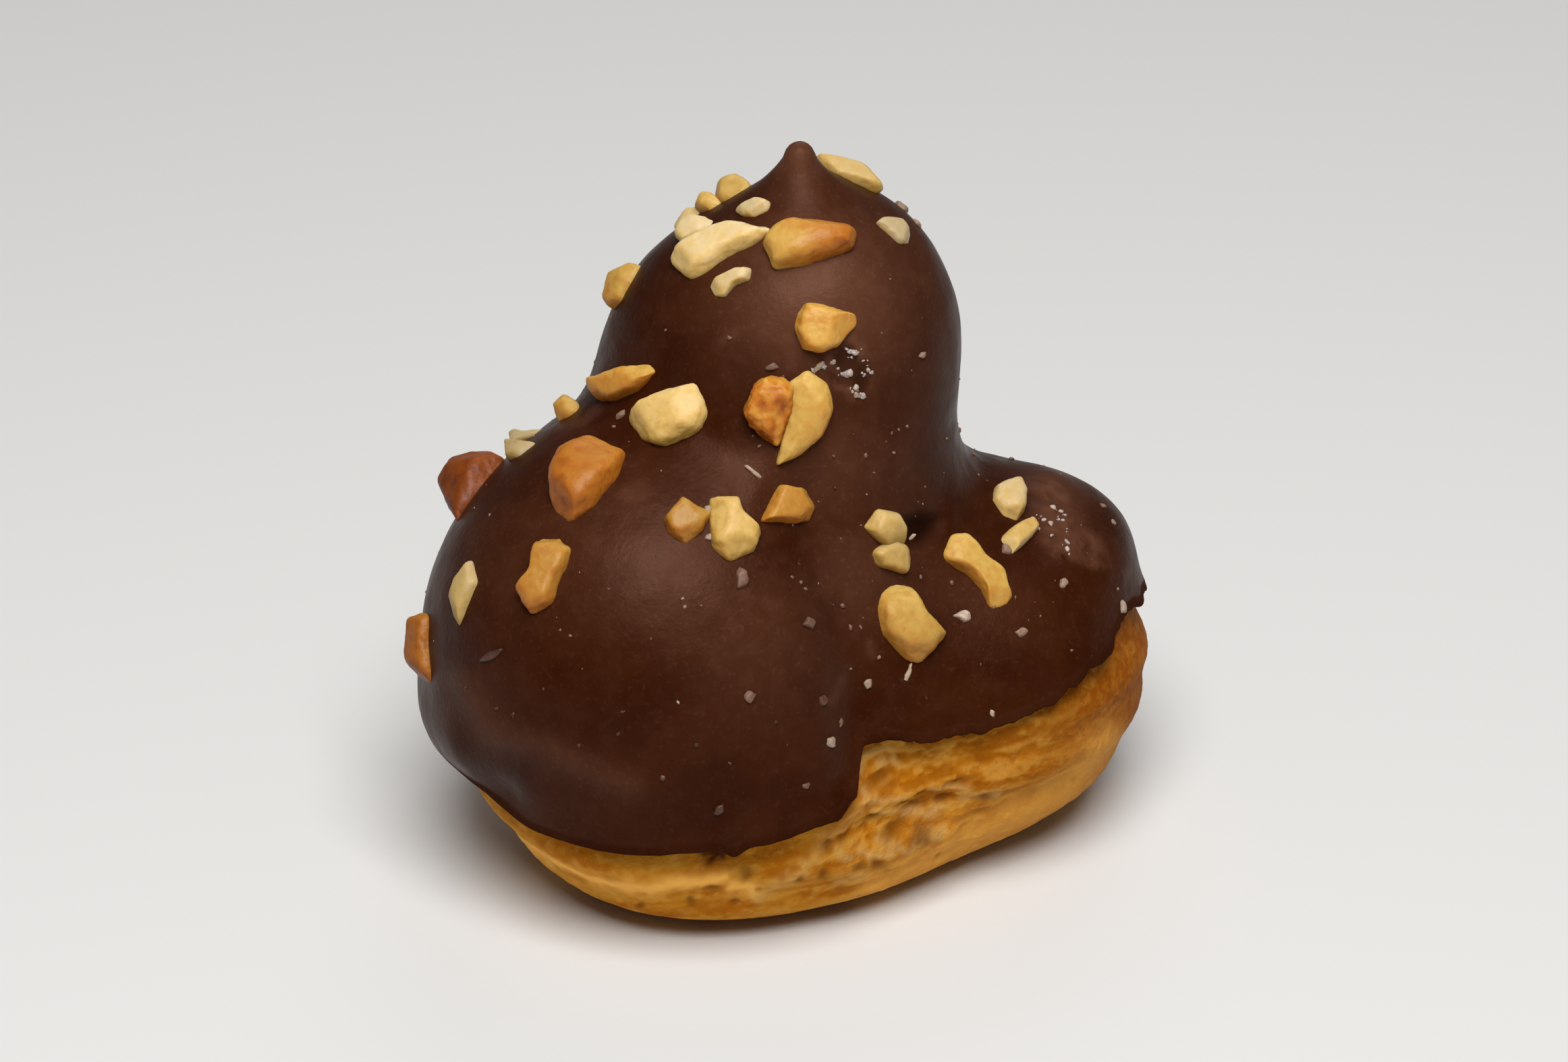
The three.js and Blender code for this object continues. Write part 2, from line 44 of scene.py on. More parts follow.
# The piped form in mm: lobes that run together, a pulled-up tip, and the heart that every ray starts from
bunForm = {
    "lobes": [  # centre, half-axes, turn about Z in degrees
        ((-8.0, -3.8, 15.4), (15.7, 15.4, 15.5), 0),  # main lobe, front left
        ((11.8, 2.0, 12.0), (12.6, 12.8, 10.1), 20),  # right lobe
        ((17.2, 4.4, 17.2), (5.0, 5.4, 4.4), 0),  # bump on the right lobe
        ((2.0, 2.0, 16.5), (11.0, 11.5, 12.5), 0),  # core
        ((-5.5, 9.5, 17.5), (10.0, 9.5, 12.0), 0),  # back left lobe
        ((6.0, 8.6, 11.2), (12.0, 11.0, 9.2), 0),  # back right lobe
        ((1.0, 3.0, 34.2), (10.0, 9.4, 9.2), 0),  # knob
        ((-4.6, 4.5, 31.6), (6.6, 7.0, 6.8), 0),  # left shoulder of the knob
        ((2.9, 3.0, 38.8), (4.9, 5.2, 4.2), 0),  # right shoulder of the knob
        ((1.6, 0.6, 27.0), (7.8, 8.2, 7.0), 0),  # neck
        ((1.6, -1.2, 7.1), (21.2, 15.0, 11.5), 33),  # base
        ((-4.2, -6.0, 6.6), (11.8, 11.2, 10.0), 0),  # foot of the main lobe
        ((12.0, 3.4, 8.0), (11.6, 11.0, 8.7), 0),  # foot of the right lobe
    ],
    "lobeBlend": 2.0,
    "footBlend": 3.0,
    "tip": {
        "foot": (0.8, 3.0, 36.5), "end": (1.0, 3.0, 46.9), "radii": (7.0, 1.0), "taper": 0.85, "blend": 3.0,
    },
    "folds": [  # half width, depth, less than 0 for a swelling, line over the surface
        (1.9, 0.9, (  # crease between main and right lobe
            (1.6, -9.4, 28.8), (2.4, -10.5, 26.6), (3.8, -12.2, 22.8), (4.8, -13.8, 18.4),
            (5.0, -16.0, 12.8))),
        (2.4, -0.6, ((-23.0, -1.0, 11.8), (-23.4, -7.0, 11.8), (-21.2, -12.4, 12.8))),  # ledge on the left
        (1.5, 0.4, ((-22.0, -5.5, 8.4), (-20.8, -11.0, 9.4), (-17.5, -15.6, 10.6))),  # pinch under it
        (2.6, 0.6, ((23.0, -5.0, 16.8), (24.0, 2.0, 16.6), (23.2, 8.0, 15.5))),  # flat edge on the far right
    ],
    "edge": [  # of the chocolate: bearing in degrees, height
        (-175, 10.2), (-142, 9.8), (-129, 8.9), (-118, 8.8), (-99, 9.5), (-84, 10.3), (-80, 11.4),
        (-77, 14.1), (-73, 14.2), (-61, 13.3), (-42, 13.9), (-27, 15.5), (-13, 16.8), (-5, 16.0),
        (25, 13.2), (60, 10.0), (85, 11.8), (115, 8.8), (150, 10.2),
    ],
    "heart": (1.1, 3.0, 20.0),
    "reach": (2.0, 45.0),  # nearest and farthest that a ray can leave the form
    "halvings": 26,
    "coatDepth": 1.3,  # chocolate over the crust
    "frontCrowding": 0.35,  # sides of the wrapped pieces stand closer together in front
    "standing": (0.2914, -0.2449, 0.0),  # moves the middle of the box over the origin
}
heart = np.array(bunForm["heart"])

# The photo's viewpoint, which the camera and the places of nuts and crumbs share
viewpoint = {
    "elevation": 28.0,
    "distance": 330.0,
    "target": (0.0, 0.0, 21.5),
    "middle": (1065, 1025),  # pixel that the target stands at
    "pixel": 0.1088,  # mm
    "startBefore": 60.0,  # sight lines start this far ahead of the target
    "steps": 500,
    "stride": (0.6, 0.05),  # share of the gap, and at least
    "closeEnough": 0.01,
}
tilt = math.radians(viewpoint["elevation"])
towardsViewer = np.array([0.0, -math.cos(tilt), math.sin(tilt)])
viewRight = np.array([1.0, 0.0, 0.0])
viewUp = np.array([0.0, math.sin(tilt), math.cos(tilt)])
eye = np.array(viewpoint["target"]) + towardsViewer * viewpoint["distance"]


def draw(seed):  # repeatable draw between 0 and 1
    value = math.sin(seed * 12.9898 + 78.233) * 43758.5453
    return value - math.floor(value)


def ease(values, low, high):
    t = np.clip((values - low) / (high - low), 0.0, 1.0)
    return t * t * (3.0 - 2.0 * t)


def smoothMin(a, b, blend):
    share = np.clip(0.5 + 0.5 * (a - b) / blend, 0.0, 1.0)
    return a + (b - a) * share - blend * share * (1.0 - share)


def lobeDistance(points, lobe):
    centre, half, turn = lobe
    offset = points - np.array(centre)
    c, s = math.cos(math.radians(turn)), math.sin(math.radians(turn))
    x = (offset[:, 0] * c + offset[:, 1] * s) / half[0]
    y = (offset[:, 1] * c - offset[:, 0] * s) / half[1]
    z = offset[:, 2] / half[2]
    scaled = np.sqrt(x * x + y * y + z * z)
    slope = np.sqrt((x / half[0]) ** 2 + (y / half[1]) ** 2 + (z / half[2]) ** 2) + 1e-9
    return scaled * (scaled - 1.0) / slope


def tipDistance(points):
    tip = bunForm["tip"]
    foot = np.array(tip["foot"])
    axis = np.array(tip["end"]) - foot
    along = np.clip((points - foot) @ axis / (axis @ axis), 0.0, 1.0)
    wide, narrow = tip["radii"]
    radius = wide + (narrow - wide) * along ** tip["taper"]
    return np.linalg.norm(points - foot - along[:, None] * axis, axis=1) - radius


def pathGap(points, path):  # distance to a line of segments
    gaps = []
    for start, end in zip(path[:-1], path[1:]):
        run = end - start
        along = np.clip((points - start) @ run / (run @ run), 0.0, 1.0)
        gaps.append(np.linalg.norm(points - start - along[:, None] * run, axis=1))
    return np.min(gaps, axis=0)


def foldDepth(points):
    depth = np.zeros(len(points))
    for half, deep, line in bunForm["folds"]:
        path = np.array(line)
        low, high = path.min(axis=0) - 3 * half, path.max(axis=0) + 3 * half  # a fold fades out within this
        near = np.nonzero(np.all((points > low) & (points < high), axis=1))[0]
        depth[near] += deep * np.exp(-((pathGap(points[near], path) / half) ** 2))
    return depth


def formDistance(points, inset=0.0):
    blend = bunForm["lobeBlend"]
    total = 1e-30
    for lobe in bunForm["lobes"]:
        total = total + np.exp(-lobeDistance(points, lobe) / blend)
    body = smoothMin(-blend * np.log(total), tipDistance(points), bunForm["tip"]["blend"])
    return -smoothMin(-body - inset - foldDepth(points), points[:, 2], bunForm["footBlend"])


def formNormal(points):
    step = 0.05 * np.eye(3)
    slopes = [formDistance(points + axis) - formDistance(points - axis) for axis in step]
    normal = np.stack(slopes, axis=1)
    return normal / np.linalg.norm(normal, axis=1)[:, None]


def raysFromHeart(polar, bearing):
    level = np.sin(polar)
    return np.stack([level * np.cos(bearing), level * np.sin(bearing), np.cos(polar)], axis=1)


def surfacePoints(rays, inset=0.0):  # where each ray from the heart leaves the form
    near, far = (np.full(len(rays), reach) for reach in bunForm["reach"])
    for _ in range(bunForm["halvings"]):
        middle = (near + far) / 2
        inside = formDistance(heart + rays * middle[:, None], inset) < 0
        near = np.where(inside, middle, near)
        far = np.where(inside, far, middle)
    return heart + rays * near[:, None]


def bearingOf(points):
    return np.arctan2(points[:, 1] - heart[1], points[:, 0] - heart[0])


def noiseAt(points, size, octaves=1, seed=0.0):  # value about -1 to 1, with lumps of the given size in mm
    shift = Vector((seed * 13.7, seed * 7.1, seed * 3.3))
    return np.array([noise.fractal(Vector(p) / size + shift, 1.0, 2.0, octaves) for p in points])


def cellsAt(points, size):  # distance to the nearest seed, in cells of the given size
    return np.array([noise.voronoi(Vector(p) / size)[0][0] for p in points])


def gapTo(points, centre):
    return np.linalg.norm(points - np.array(centre), axis=1)


def seenPoints(pixels):  # where the sight lines meet the form, or come closest to it
    across = (pixels[:, 0] - viewpoint["middle"][0]) * viewpoint["pixel"]
    up = (viewpoint["middle"][1] - pixels[:, 1]) * viewpoint["pixel"]
    sight = across[:, None] * viewRight + up[:, None] * viewUp - viewpoint["distance"] * towardsViewer
    sight = sight / np.linalg.norm(sight, axis=1)[:, None]
    reach = np.full(len(pixels), viewpoint["distance"] - viewpoint["startBefore"])
    closest = eye + sight * reach[:, None]
    gap = formDistance(closest)
    share, least = viewpoint["stride"]
    for _ in range(viewpoint["steps"]):
        points = eye + sight * reach[:, None]
        found = formDistance(points)
        better = found < gap
        closest = np.where(better[:, None], points, closest)
        gap = np.where(better, found, gap)
        reach = reach + np.where(gap > viewpoint["closeEnough"], np.maximum(share * found, least), 0.0)
    return closest - formNormal(closest) * formDistance(closest)[:, None]


def pixelsOf(points):  # where the viewpoint sees each point, in photo pixels
    offset = points - np.array(viewpoint["target"])
    scale = viewpoint["distance"] / (viewpoint["distance"] - offset @ towardsViewer) / viewpoint["pixel"]
    across = viewpoint["middle"][0] + offset @ viewRight * scale
    return np.stack([across, viewpoint["middle"][1] - offset @ viewUp * scale], axis=1)


def asPairs(flat):  # a flat row of numbers as points
    return np.array(flat, dtype=float).reshape(-1, 2)


def strokes(pixels, mark):  # 1 along any of the mark's lines, 0 well away from them
    gaps = [pathGap(pixels, asPairs(line)) for line in mark["lines"]]
    return np.exp(-((np.min(gaps, axis=0) / mark["half"]) ** 2))


def ovals(pixels, rows):  # across, down, half width, half height, turn, and the share at the middle
    marks = []
    for across, down, wide, high, turn, share in rows:
        c, s = math.cos(math.radians(turn)), math.sin(math.radians(turn))
        x, y = pixels[:, 0] - across, down - pixels[:, 1]
        u, v = (x * c + y * s) / wide, (y * c - x * s) / high
        marks.append(share * np.exp(-((u * u + v * v) ** 1.2)))
    return np.max(marks, axis=0)


def stretch(values, limits):  # 1 between the inner two limits, 0 outside the outer two
    start, full, still, end = limits
    return ease(values, start, full) * (1 - ease(values, still, end))


def patchMark(pixels, mark):  # 1 inside the mark's outline, 0 outside it
    outline = asPairs(mark["outline"])
    closed = np.vstack([outline, outline[:1]])
    inside = np.zeros(len(pixels), dtype=bool)
    for (x0, y0), (x1, y1) in zip(closed[:-1], closed[1:]):
        crosses = (y0 > pixels[:, 1]) != (y1 > pixels[:, 1])
        at = x0 + (pixels[:, 1] - y0) * (x1 - x0) / ((y1 - y0) or 1e-9)
        inside ^= crosses & (pixels[:, 0] < at)
    gap = pathGap(pixels, closed) * np.where(inside, -1.0, 1.0)
    return 1 - ease(gap, -mark["soft"], mark["soft"])


def toMetres(points):
    return (points + np.array(bunForm["standing"])) * mm


def wrapSphere(sides, rings, place):  # a grid closed round the heart, each vertex where place says
    bm = bmesh.new()
    bmesh.ops.create_grid(bm, x_segments=sides, y_segments=rings, size=1.0)
    start = np.array([v.co for v in bm.verts])
    ring = np.rint((1.0 - start[:, 1]) / 2 * rings)
    bearing = 2 * math.pi * np.mod(np.rint((1.0 + start[:, 0]) / 2 * sides), sides) / sides
    bearing = bearing - bunForm["frontCrowding"] * np.cos(bearing)
    placed, marks = place(ring, bearing)
    for vert, spot in zip(bm.verts, toMetres(placed)):
        vert.co = spot
    for name, values in marks.items():
        layer = bm.verts.layers.float.new(name)
        for vert, value in zip(bm.verts, values):
            vert[layer] = value
    bmesh.ops.remove_doubles(bm, verts=bm.verts, dist=1e-7)
    bmesh.ops.recalc_face_normals(bm, faces=bm.faces)
    return bm


def makePiece(name, bm, material):
    mesh = bpy.data.meshes.new(name)
    bm.to_mesh(mesh)
    bm.free()
    for face in mesh.polygons:
        face.use_smooth = True
    piece = bpy.data.objects.new(name, mesh)
    bpy.context.scene.collection.objects.link(piece)
    mesh.materials.append(material)
    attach(piece, "root")
    print(name, "made,", len(mesh.polygons), "faces")
    return piece


# Shader helpers
def put(tree, kind, inputs=None, **settings):
    node = tree.nodes.new(kind)
    for key, value in settings.items():
        setattr(node, key, value)
    for key, value in (inputs or {}).items():
        if isinstance(value, bpy.types.NodeSocket):
            tree.links.new(value, node.inputs[key])
        else:
            node.inputs[key].default_value = value
    return node


def newMaterial(name):
    material = bpy.data.materials.new(name)
    material.use_nodes = True
    tree = material.node_tree
    tree.nodes.clear()
    shader = tree.nodes.new("ShaderNodeBsdfPrincipled")
    output = tree.nodes.new("ShaderNodeOutputMaterial")
    tree.links.new(shader.outputs["BSDF"], output.inputs["Surface"])
    return material, tree, shader


def attributeOf(tree, name):
    return put(tree, "ShaderNodeAttribute", attribute_name=name).outputs["Fac"]


def mixColour(tree, factor, a, b):
    asColour = [c if isinstance(c, bpy.types.NodeSocket) else (*c, 1.0) for c in (a, b)]
    node = put(tree, "ShaderNodeMix", {0: factor, 6: asColour[0], 7: asColour[1]}, data_type="RGBA")
    return node.outputs[2]


def calc(tree, operation, a, b):
    return put(tree, "ShaderNodeMath", {0: a, 1: b}, operation=operation).outputs[0]


def gain(tree, value, times, plus):
    return put(tree, "ShaderNodeMath", {0: value, 1: times, 2: plus}, operation="MULTIPLY_ADD").outputs[0]


def roughen(tree, shader, grain):  # fine relief: lumps to the metre, depth in mm
    place = put(tree, "ShaderNodeTexCoord").outputs["Object"]
    kind = {"Scale": grain["scale"], "Detail": grain["detail"], "Roughness": grain["roughness"]}
    field = put(tree, "ShaderNodeTexNoise", {"Vector": place, **kind}).outputs["Fac"]
    relief = {"Strength": grain["strength"], "Distance": grain["depth"] * mm, "Height": field}
    tree.links.new(put(tree, "ShaderNodeBump", relief).outputs["Normal"], shader.inputs["Normal"])


def makeMottle():  # soft patches of a given size, from 0 to 1
    group = bpy.data.node_groups.new("mottle", "ShaderNodeTree")
    for name, value in (("Scale", 500.0), ("Low", 0.4), ("High", 0.6)):
        socket = group.interface.new_socket(name, in_out="INPUT", socket_type="NodeSocketFloat")
        socket.default_value = value
    group.interface.new_socket("Mask", in_out="OUTPUT", socket_type="NodeSocketFloat")
    given = group.nodes.new("NodeGroupInput").outputs
    place = put(group, "ShaderNodeTexCoord").outputs["Object"]
    field = put(group, "ShaderNodeTexNoise", {"Vector": place, "Scale": given["Scale"], "Detail": 3.0})
    levels = {"Value": field.outputs["Fac"], "From Min": given["Low"], "From Max": given["High"]}
    mask = put(group, "ShaderNodeMapRange", levels, interpolation_type="SMOOTHSTEP")
    leave = group.nodes.new("NodeGroupOutput")
    group.links.new(mask.outputs["Result"], leave.inputs["Mask"])
    return group


mottle = makeMottle()


def patches(tree, size, low, high):  # size in mm
    node = put(tree, "ShaderNodeGroup", node_tree=mottle)
    for key, value in (("Scale", 1000.0 / size), ("Low", low), ("High", high)):
        node.inputs[key].default_value = value
    return node.outputs["Mask"]


# Choux bun: golden crust, smooth in front, torn and stretched right of the step, finely netted on the right
bun = {
    "sides": 640,
    "rings": (8, 126, 12),  # under the coat, bare crust, resting face
    "polar": (95.0, 151.0, 180.0),  # where each band of rings ends
    "unevenness": 0.25,
    "crustRadius": 20.0,
    "cracks": [  # bearing and height at both ends, width, depth, less than 0 for a swelling
        ((-76, 8.0), (-58, 7.4), 2.0, 0.5),
        ((-74, 12.2), (-70, 11.4), 1.4, 0.4),
        ((-30, 7.0), (-52, 5.2), 1.0, 0.4),
        ((20, 8.0), (48, 5.4), 1.1, 0.6),
        ((-152, 8.6), (-118, 6.4), 2.4, -0.5),
        ((95, 6.6), (118, 4.2), 1.0, 0.5),
        ((160, 6.2), (186, 4.6), 1.0, 0.5),
    ],
    "pits": [  # pixel across and down, half width, half height, turn, depth
        (1124, 1179.5, 8.5, 5.2, 0, 0.25), (1138, 1193, 6, 2.4, 15, 0.12), (1172, 1178, 8, 2.4, 12, 0.12),
        (1119, 1204, 8, 2.4, 18, 0.12), (1131, 1210, 10, 3.8, 22, 0.18), (1149, 1212, 8, 3.2, 22, 0.15),
        (1122, 1227, 4.4, 4.2, 10, 0.14), (1111, 1228, 5, 2.4, 20, 0.1), (1188, 1187, 5, 2.4, 20, 0.1),
        (1101, 1210, 4, 2.6, 35, 0.14), (1091, 1214, 4, 2.8, 40, 0.14), (1090, 1232, 4, 3.0, 30, 0.14),
        (1074, 1235, 3.4, 2.6, 40, 0.12), (1150, 1187, 6, 2.2, 12, 0.08), (1164, 1193, 5, 2.2, 18, 0.08),
        (1044, 1232, 5, 3.6, 30, 0.12), (1022, 1241, 3.4, 2.6, 10, 0.1), (1008, 1248, 3, 2.2, 0, 0.08),
        (980, 1248, 3, 2.2, -10, 0.08), (1035, 1250, 3, 2.2, 0, 0.08), (1145, 1196, 9, 2.6, 14, 0.12),
    ],
    "ridge": {  # lines in pixels, half width in pixels, rise in mm
        "lines": [
            (1116, 1185, 1110, 1192, 1102, 1200, 1090, 1210, 1084, 1221, 1074, 1231, 1061, 1239, 1049, 1247),
        ],
        "half": 4.5, "rise": 0.10,
    },
    "walls": {
        "lines": [
            (1112, 1173, 1113, 1164, 1120, 1160, 1128, 1160, 1133, 1165, 1136, 1170),
            (1113, 1182, 1119, 1190, 1129, 1190, 1139, 1186), (1120, 1197, 1136, 1200, 1151, 1199),
            (1138, 1203, 1152, 1202, 1165, 1197), (1122, 1213, 1140, 1217, 1160, 1207),
            (1124, 1169, 1128, 1170), (1110, 1219, 1118, 1222, 1130, 1218), (1098, 1217, 1104, 1222),
            (1096, 1238, 1112, 1234), (1154, 1182, 1178, 1182), (1175, 1190, 1196, 1183),
        ],
        "half": 2.4, "rise": 0.04,
    },
    # pale band along the low front crust: partly its own paler bake, partly painted bounce light from the
    # floor
    "paleBandAndBounce": {
        "lines": [
            (906, 1211, 925, 1222, 950, 1231, 975, 1236, 1003, 1236, 1030, 1234), (1034, 1241, 1046, 1242),
        ],
        "half": 5.0,
    },
    # low band along the right crust near the floor: partly its own bake, partly painted bounce light from
    # the floor
    "lowBandAndBounce": {"lines": [(1120, 1240, 1160, 1222, 1200, 1203, 1235, 1180, 1262, 1150)], "half": 11.0},
    "smear": {"lines": [(1020, 1224, 1026, 1219, 1034, 1219), (1016, 1221, 1028, 1222)], "half": 2.4},
    "wander": {"size": 1.3, "pixels": 3.0},  # how far the marks stray from what was read
    "inFront": (-165, 15),  # bearings where marks are read
    "torn": (-90, -80, -52, -30),  # bearings where it starts, is full, is still full and ends
    "side": (-70, -20, 60, 120),
    "flakes": {"long": 2.4, "high": 0.55, "stray": 0.5, "rise": (0.02, 0.05)},  # all over, more where torn
    "lumps": {"size": 0.8, "rise": 0.045},
    "pores": {"spacing": 1.9, "radii": (0.06, 0.22), "patch": 5.0, "depth": 0.12, "fewerAbove": (5.0, 8.0)},
    "nibs": {"below": 0.6, "half": 0.5, "patch": 0.7},  # under the edge of the chocolate
    "amber": (0.42, 0.13, 0.002),
    # deep: colour of the right side, partly its own darker bake, partly painted shade where the light falls
    # off to the right
    "deep": (0.24, 0.055, 0.0004),
    "golden": (0.54, 0.225, 0.016),
    "pale": (0.64, 0.33, 0.06),
    # bright: colour of the pale bands, partly paler bake, partly painted bounce light
    "bright": (0.90, 0.45, 0.085),
    "cream": (0.60, 0.36, 0.115),
    # pit: painted shade in the pits and pores
    "pitShade": (0.15, 0.042, 0.002),
    "groove": (0.27, 0.072, 0.0015),
    "fringe": (0.13, 0.030, 0.003),
    "smeared": (0.06, 0.014, 0.002),
    "patches": {  # size in mm, where the mask starts and is full
        "baked": (2.6, 0.3, 0.7), "blotch": (0.9, 0.5, 0.72), "dark": (0.75, 0.56, 0.74),
        "net": (0.55, 0.45, 0.62), "fleck": (0.34, 0.6, 0.74),
    },
    "flakeTone": 0.55,
    "layers": [  # patches or mark, share, how much more on the side, colour, in the order they are laid
        # the first layer darkens the right side: partly darker bake, partly painted shade
        ("side", 0.95, 0.0, "deep"), ("blotch", 0.4, -0.3, "pale"), ("dark", 0.4, 0.0, "amber"),
        ("net", 0.0, 0.2, "golden"), ("torn", 0.5, 0.0, "amber"), ("groove", 0.6, 0.0, "groove"),
        # the band layer lays paler bake and painted bounce light from the floor
        ("vein", 0.5, 0.0, "pale"), ("paleAndBounceBand", 1.0, 0.0, "bright"), ("fleck", 0.15, 0.0, "cream"),
        # the pit layer lays painted shade in the pits and pores
        ("wall", 0.6, 0.0, "cream"), ("nibs", 0.45, 0.0, "pale"), ("pitShade", 0.75, 0.0, "pitShade"),
        ("fringe", 0.7, 0.0, "fringe"), ("smear", 1.0, 0.0, "smeared"),
    ],
    "roughness": 0.65,
    "specular": 0.04,
    "grain": {"scale": 1300.0, "detail": 4.0, "roughness": 0.65, "strength": 0.6, "depth": 0.3},
}


def edgeHeight(bearing):
    knots = bunForm["edge"]
    first, firstHeight = knots[0]
    at = np.array([knot[0] for knot in knots] + [first + 360.0])
    height = np.array([knot[1] for knot in knots] + [firstHeight])
    degrees = first + np.mod(np.degrees(bearing) - first, 360.0)
    index = np.clip(np.searchsorted(at, degrees, side="right") - 1, 0, len(knots) - 1)
    share = ease((degrees - at[index]) / (at[index + 1] - at[index]), 0.0, 1.0)
    return height[index] + (height[index + 1] - height[index]) * share


def crackDistance(points, start, end):  # on the unrolled crust
    radius = bun["crustRadius"]
    a = np.array([math.radians(start[0]) * radius, start[1]])
    b = np.array([math.radians(end[0]) * radius, end[1]])
    around = 2 * math.pi * radius
    across = bearingOf(points) * radius
    across = across + around * np.rint(((a[0] + b[0]) / 2 - across) / around)
    here = np.stack([across, points[:, 2]], axis=1)
    along = np.clip((here - a) @ (b - a) / ((b - a) @ (b - a)), 0.0, 1.0)
    return np.linalg.norm(here - a - along[:, None] * (b - a), axis=1)


def crustRelief(points):  # depth below the plain crust, and marks for its colours
    bearing = bearingOf(points)
    degrees = np.degrees(bearing)
    height = points[:, 2]
    edge = edgeHeight(bearing)
    shown = (1.0 - ease(height, edge - 0.1, edge + 0.6)) * ease(height, 0.5, 2.5)
    bare = np.nonzero(shown > 0.01)[0]
    spots, turn, level, around = points[bare], degrees[bare], height[bare], bearing[bare]
    depth = bun["unevenness"] * np.sin(5 * around + 0.9 * level) * np.sin(0.7 * level - 3 * around)
    for start, end, width, deep in bun["cracks"]:
        depth = depth + deep * np.exp(-((crackDistance(spots, start, end) / width) ** 2))
    first, last = bun["inFront"]
    inFront = (turn > first) & (turn < last)
    wander = np.stack([noiseAt(spots, bun["wander"]["size"], 2, seed) for seed in (3.0, 4.0)], axis=1)
    pixels = np.where(inFront[:, None], pixelsOf(spots) + bun["wander"]["pixels"] * wander, 0.0)
    # mask of the pits, for their painted shade
    pitShade = ovals(pixels, [(*row[:5], 1.0) for row in bun["pits"]])
    depth = depth + ovals(pixels, bun["pits"])
    flakes, lumps, pores, nibs = bun["flakes"], bun["lumps"], bun["pores"], bun["nibs"]
    run = around * bun["crustRadius"]
    unrolled = np.stack([run / flakes["long"], level / flakes["high"], 0 * level], axis=1)
    flake = noiseAt(unrolled + flakes["stray"] * wander[:, :1], 1.0, 3, 5.0)
    ridge = strokes(pixels, bun["ridge"]) * (0.75 + 0.5 * flake)
    wall = np.maximum(0.75 * ridge, 0.9 * strokes(pixels, bun["walls"]))
    depth = depth - bun["ridge"]["rise"] * ridge - bun["walls"]["rise"] * wall
    torn, side = stretch(turn, bun["torn"]), stretch(turn, bun["side"])
    allOver, whereTorn = flakes["rise"]
    depth = depth - (allOver + whereTorn * torn) * flake
    depth = depth - lumps["rise"] * noiseAt(spots, lumps["size"], 3, 6.0)
    pore = 1 - ease(cellsAt(spots, pores["spacing"]), *pores["radii"])
    pore = pore * (noiseAt(spots, pores["patch"], 1, 9.0) > 0.0)
    pore = pore * (1 - 0.7 * ease(level, *pores["fewerAbove"]))
    depth = depth + pores["depth"] * pore
    below = edge[bare] - level
    patchy = noiseAt(spots, nibs["patch"], 2, 7.0)
    under = np.exp(-(((below - nibs["below"]) / nibs["half"]) ** 2)) * (patchy > 0.05)
    found = {
        # painted shade in the pits, fainter in the pores
        "pitShade": np.clip(np.maximum(pitShade, 0.55 * pore), 0, 1),
        "wall": np.clip(wall, 0, 1),
        "flake": flake,
        "vein": ease(flake, 0.0, 0.4) * (0.45 + 0.55 * torn) * (1 - 0.5 * side * (1 - torn)),
        "groove": ease(-flake, 0.0, 0.4) * (0.4 + 0.6 * torn),
        "fringe": (1 - ease(below - 0.35 * patchy, 0.1, 0.75)) * (0.35 + 0.65 * side),
        "torn": torn,
        "side": side,
        # pale bands along the low crust: paler bake and painted bounce light from the floor
        "paleAndBounceBand": np.maximum(strokes(pixels, bun["paleBandAndBounce"]), 0.5 * strokes(pixels, bun["lowBandAndBounce"])),
        "smear": strokes(pixels, bun["smear"]),
        "nibs": under * side,
    }
    allDepth = np.zeros(len(points))
    allDepth[bare] = depth * shown[bare]
    allMarks = {}
    for name, values in found.items():
        allMarks[name] = np.zeros(len(points))
        allMarks[name][bare] = values
    return allDepth, allMarks


def bunPlace(ring, bearing):
    rings = np.cumsum((0,) + bun["rings"])
    polar = np.radians(np.interp(ring, rings, (0.0,) + bun["polar"]))
    rays = raysFromHeart(polar, bearing)
    depth, marks = crustRelief(surfacePoints(rays, bunForm["coatDepth"]))
    points = surfacePoints(rays, bunForm["coatDepth"] + depth)
    points[:, 2] = np.where(points[:, 2] < 0.05, 0.0, points[:, 2])
    return points, marks


def crustMaterial():
    material, tree, shader = newMaterial("chouxCrust")
    kinds = bun["patches"]
    side = attributeOf(tree, "side")
    baked = gain(tree, attributeOf(tree, "flake"), bun["flakeTone"], patches(tree, *kinds["baked"]))
    colour = mixColour(tree, baked, bun["amber"], bun["golden"])
    for name, share, onSide, laid in bun["layers"]:
        mask = patches(tree, *kinds[name]) if name in kinds else attributeOf(tree, name)
        weight = calc(tree, "MULTIPLY", mask, gain(tree, side, onSide, share))
        colour = mixColour(tree, weight, colour, bun[laid])
    tree.links.new(colour, shader.inputs["Base Color"])
    shader.inputs["Roughness"].default_value = bun["roughness"]
    shader.inputs["Specular IOR Level"].default_value = bun["specular"]
    roughen(tree, shader, bun["grain"])
    return material


bunRings = sum(bun["rings"])
chouxBun = makePiece("chouxBun", wrapSphere(bun["sides"], bunRings, bunPlace), crustMaterial())
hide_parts("choux_bun")

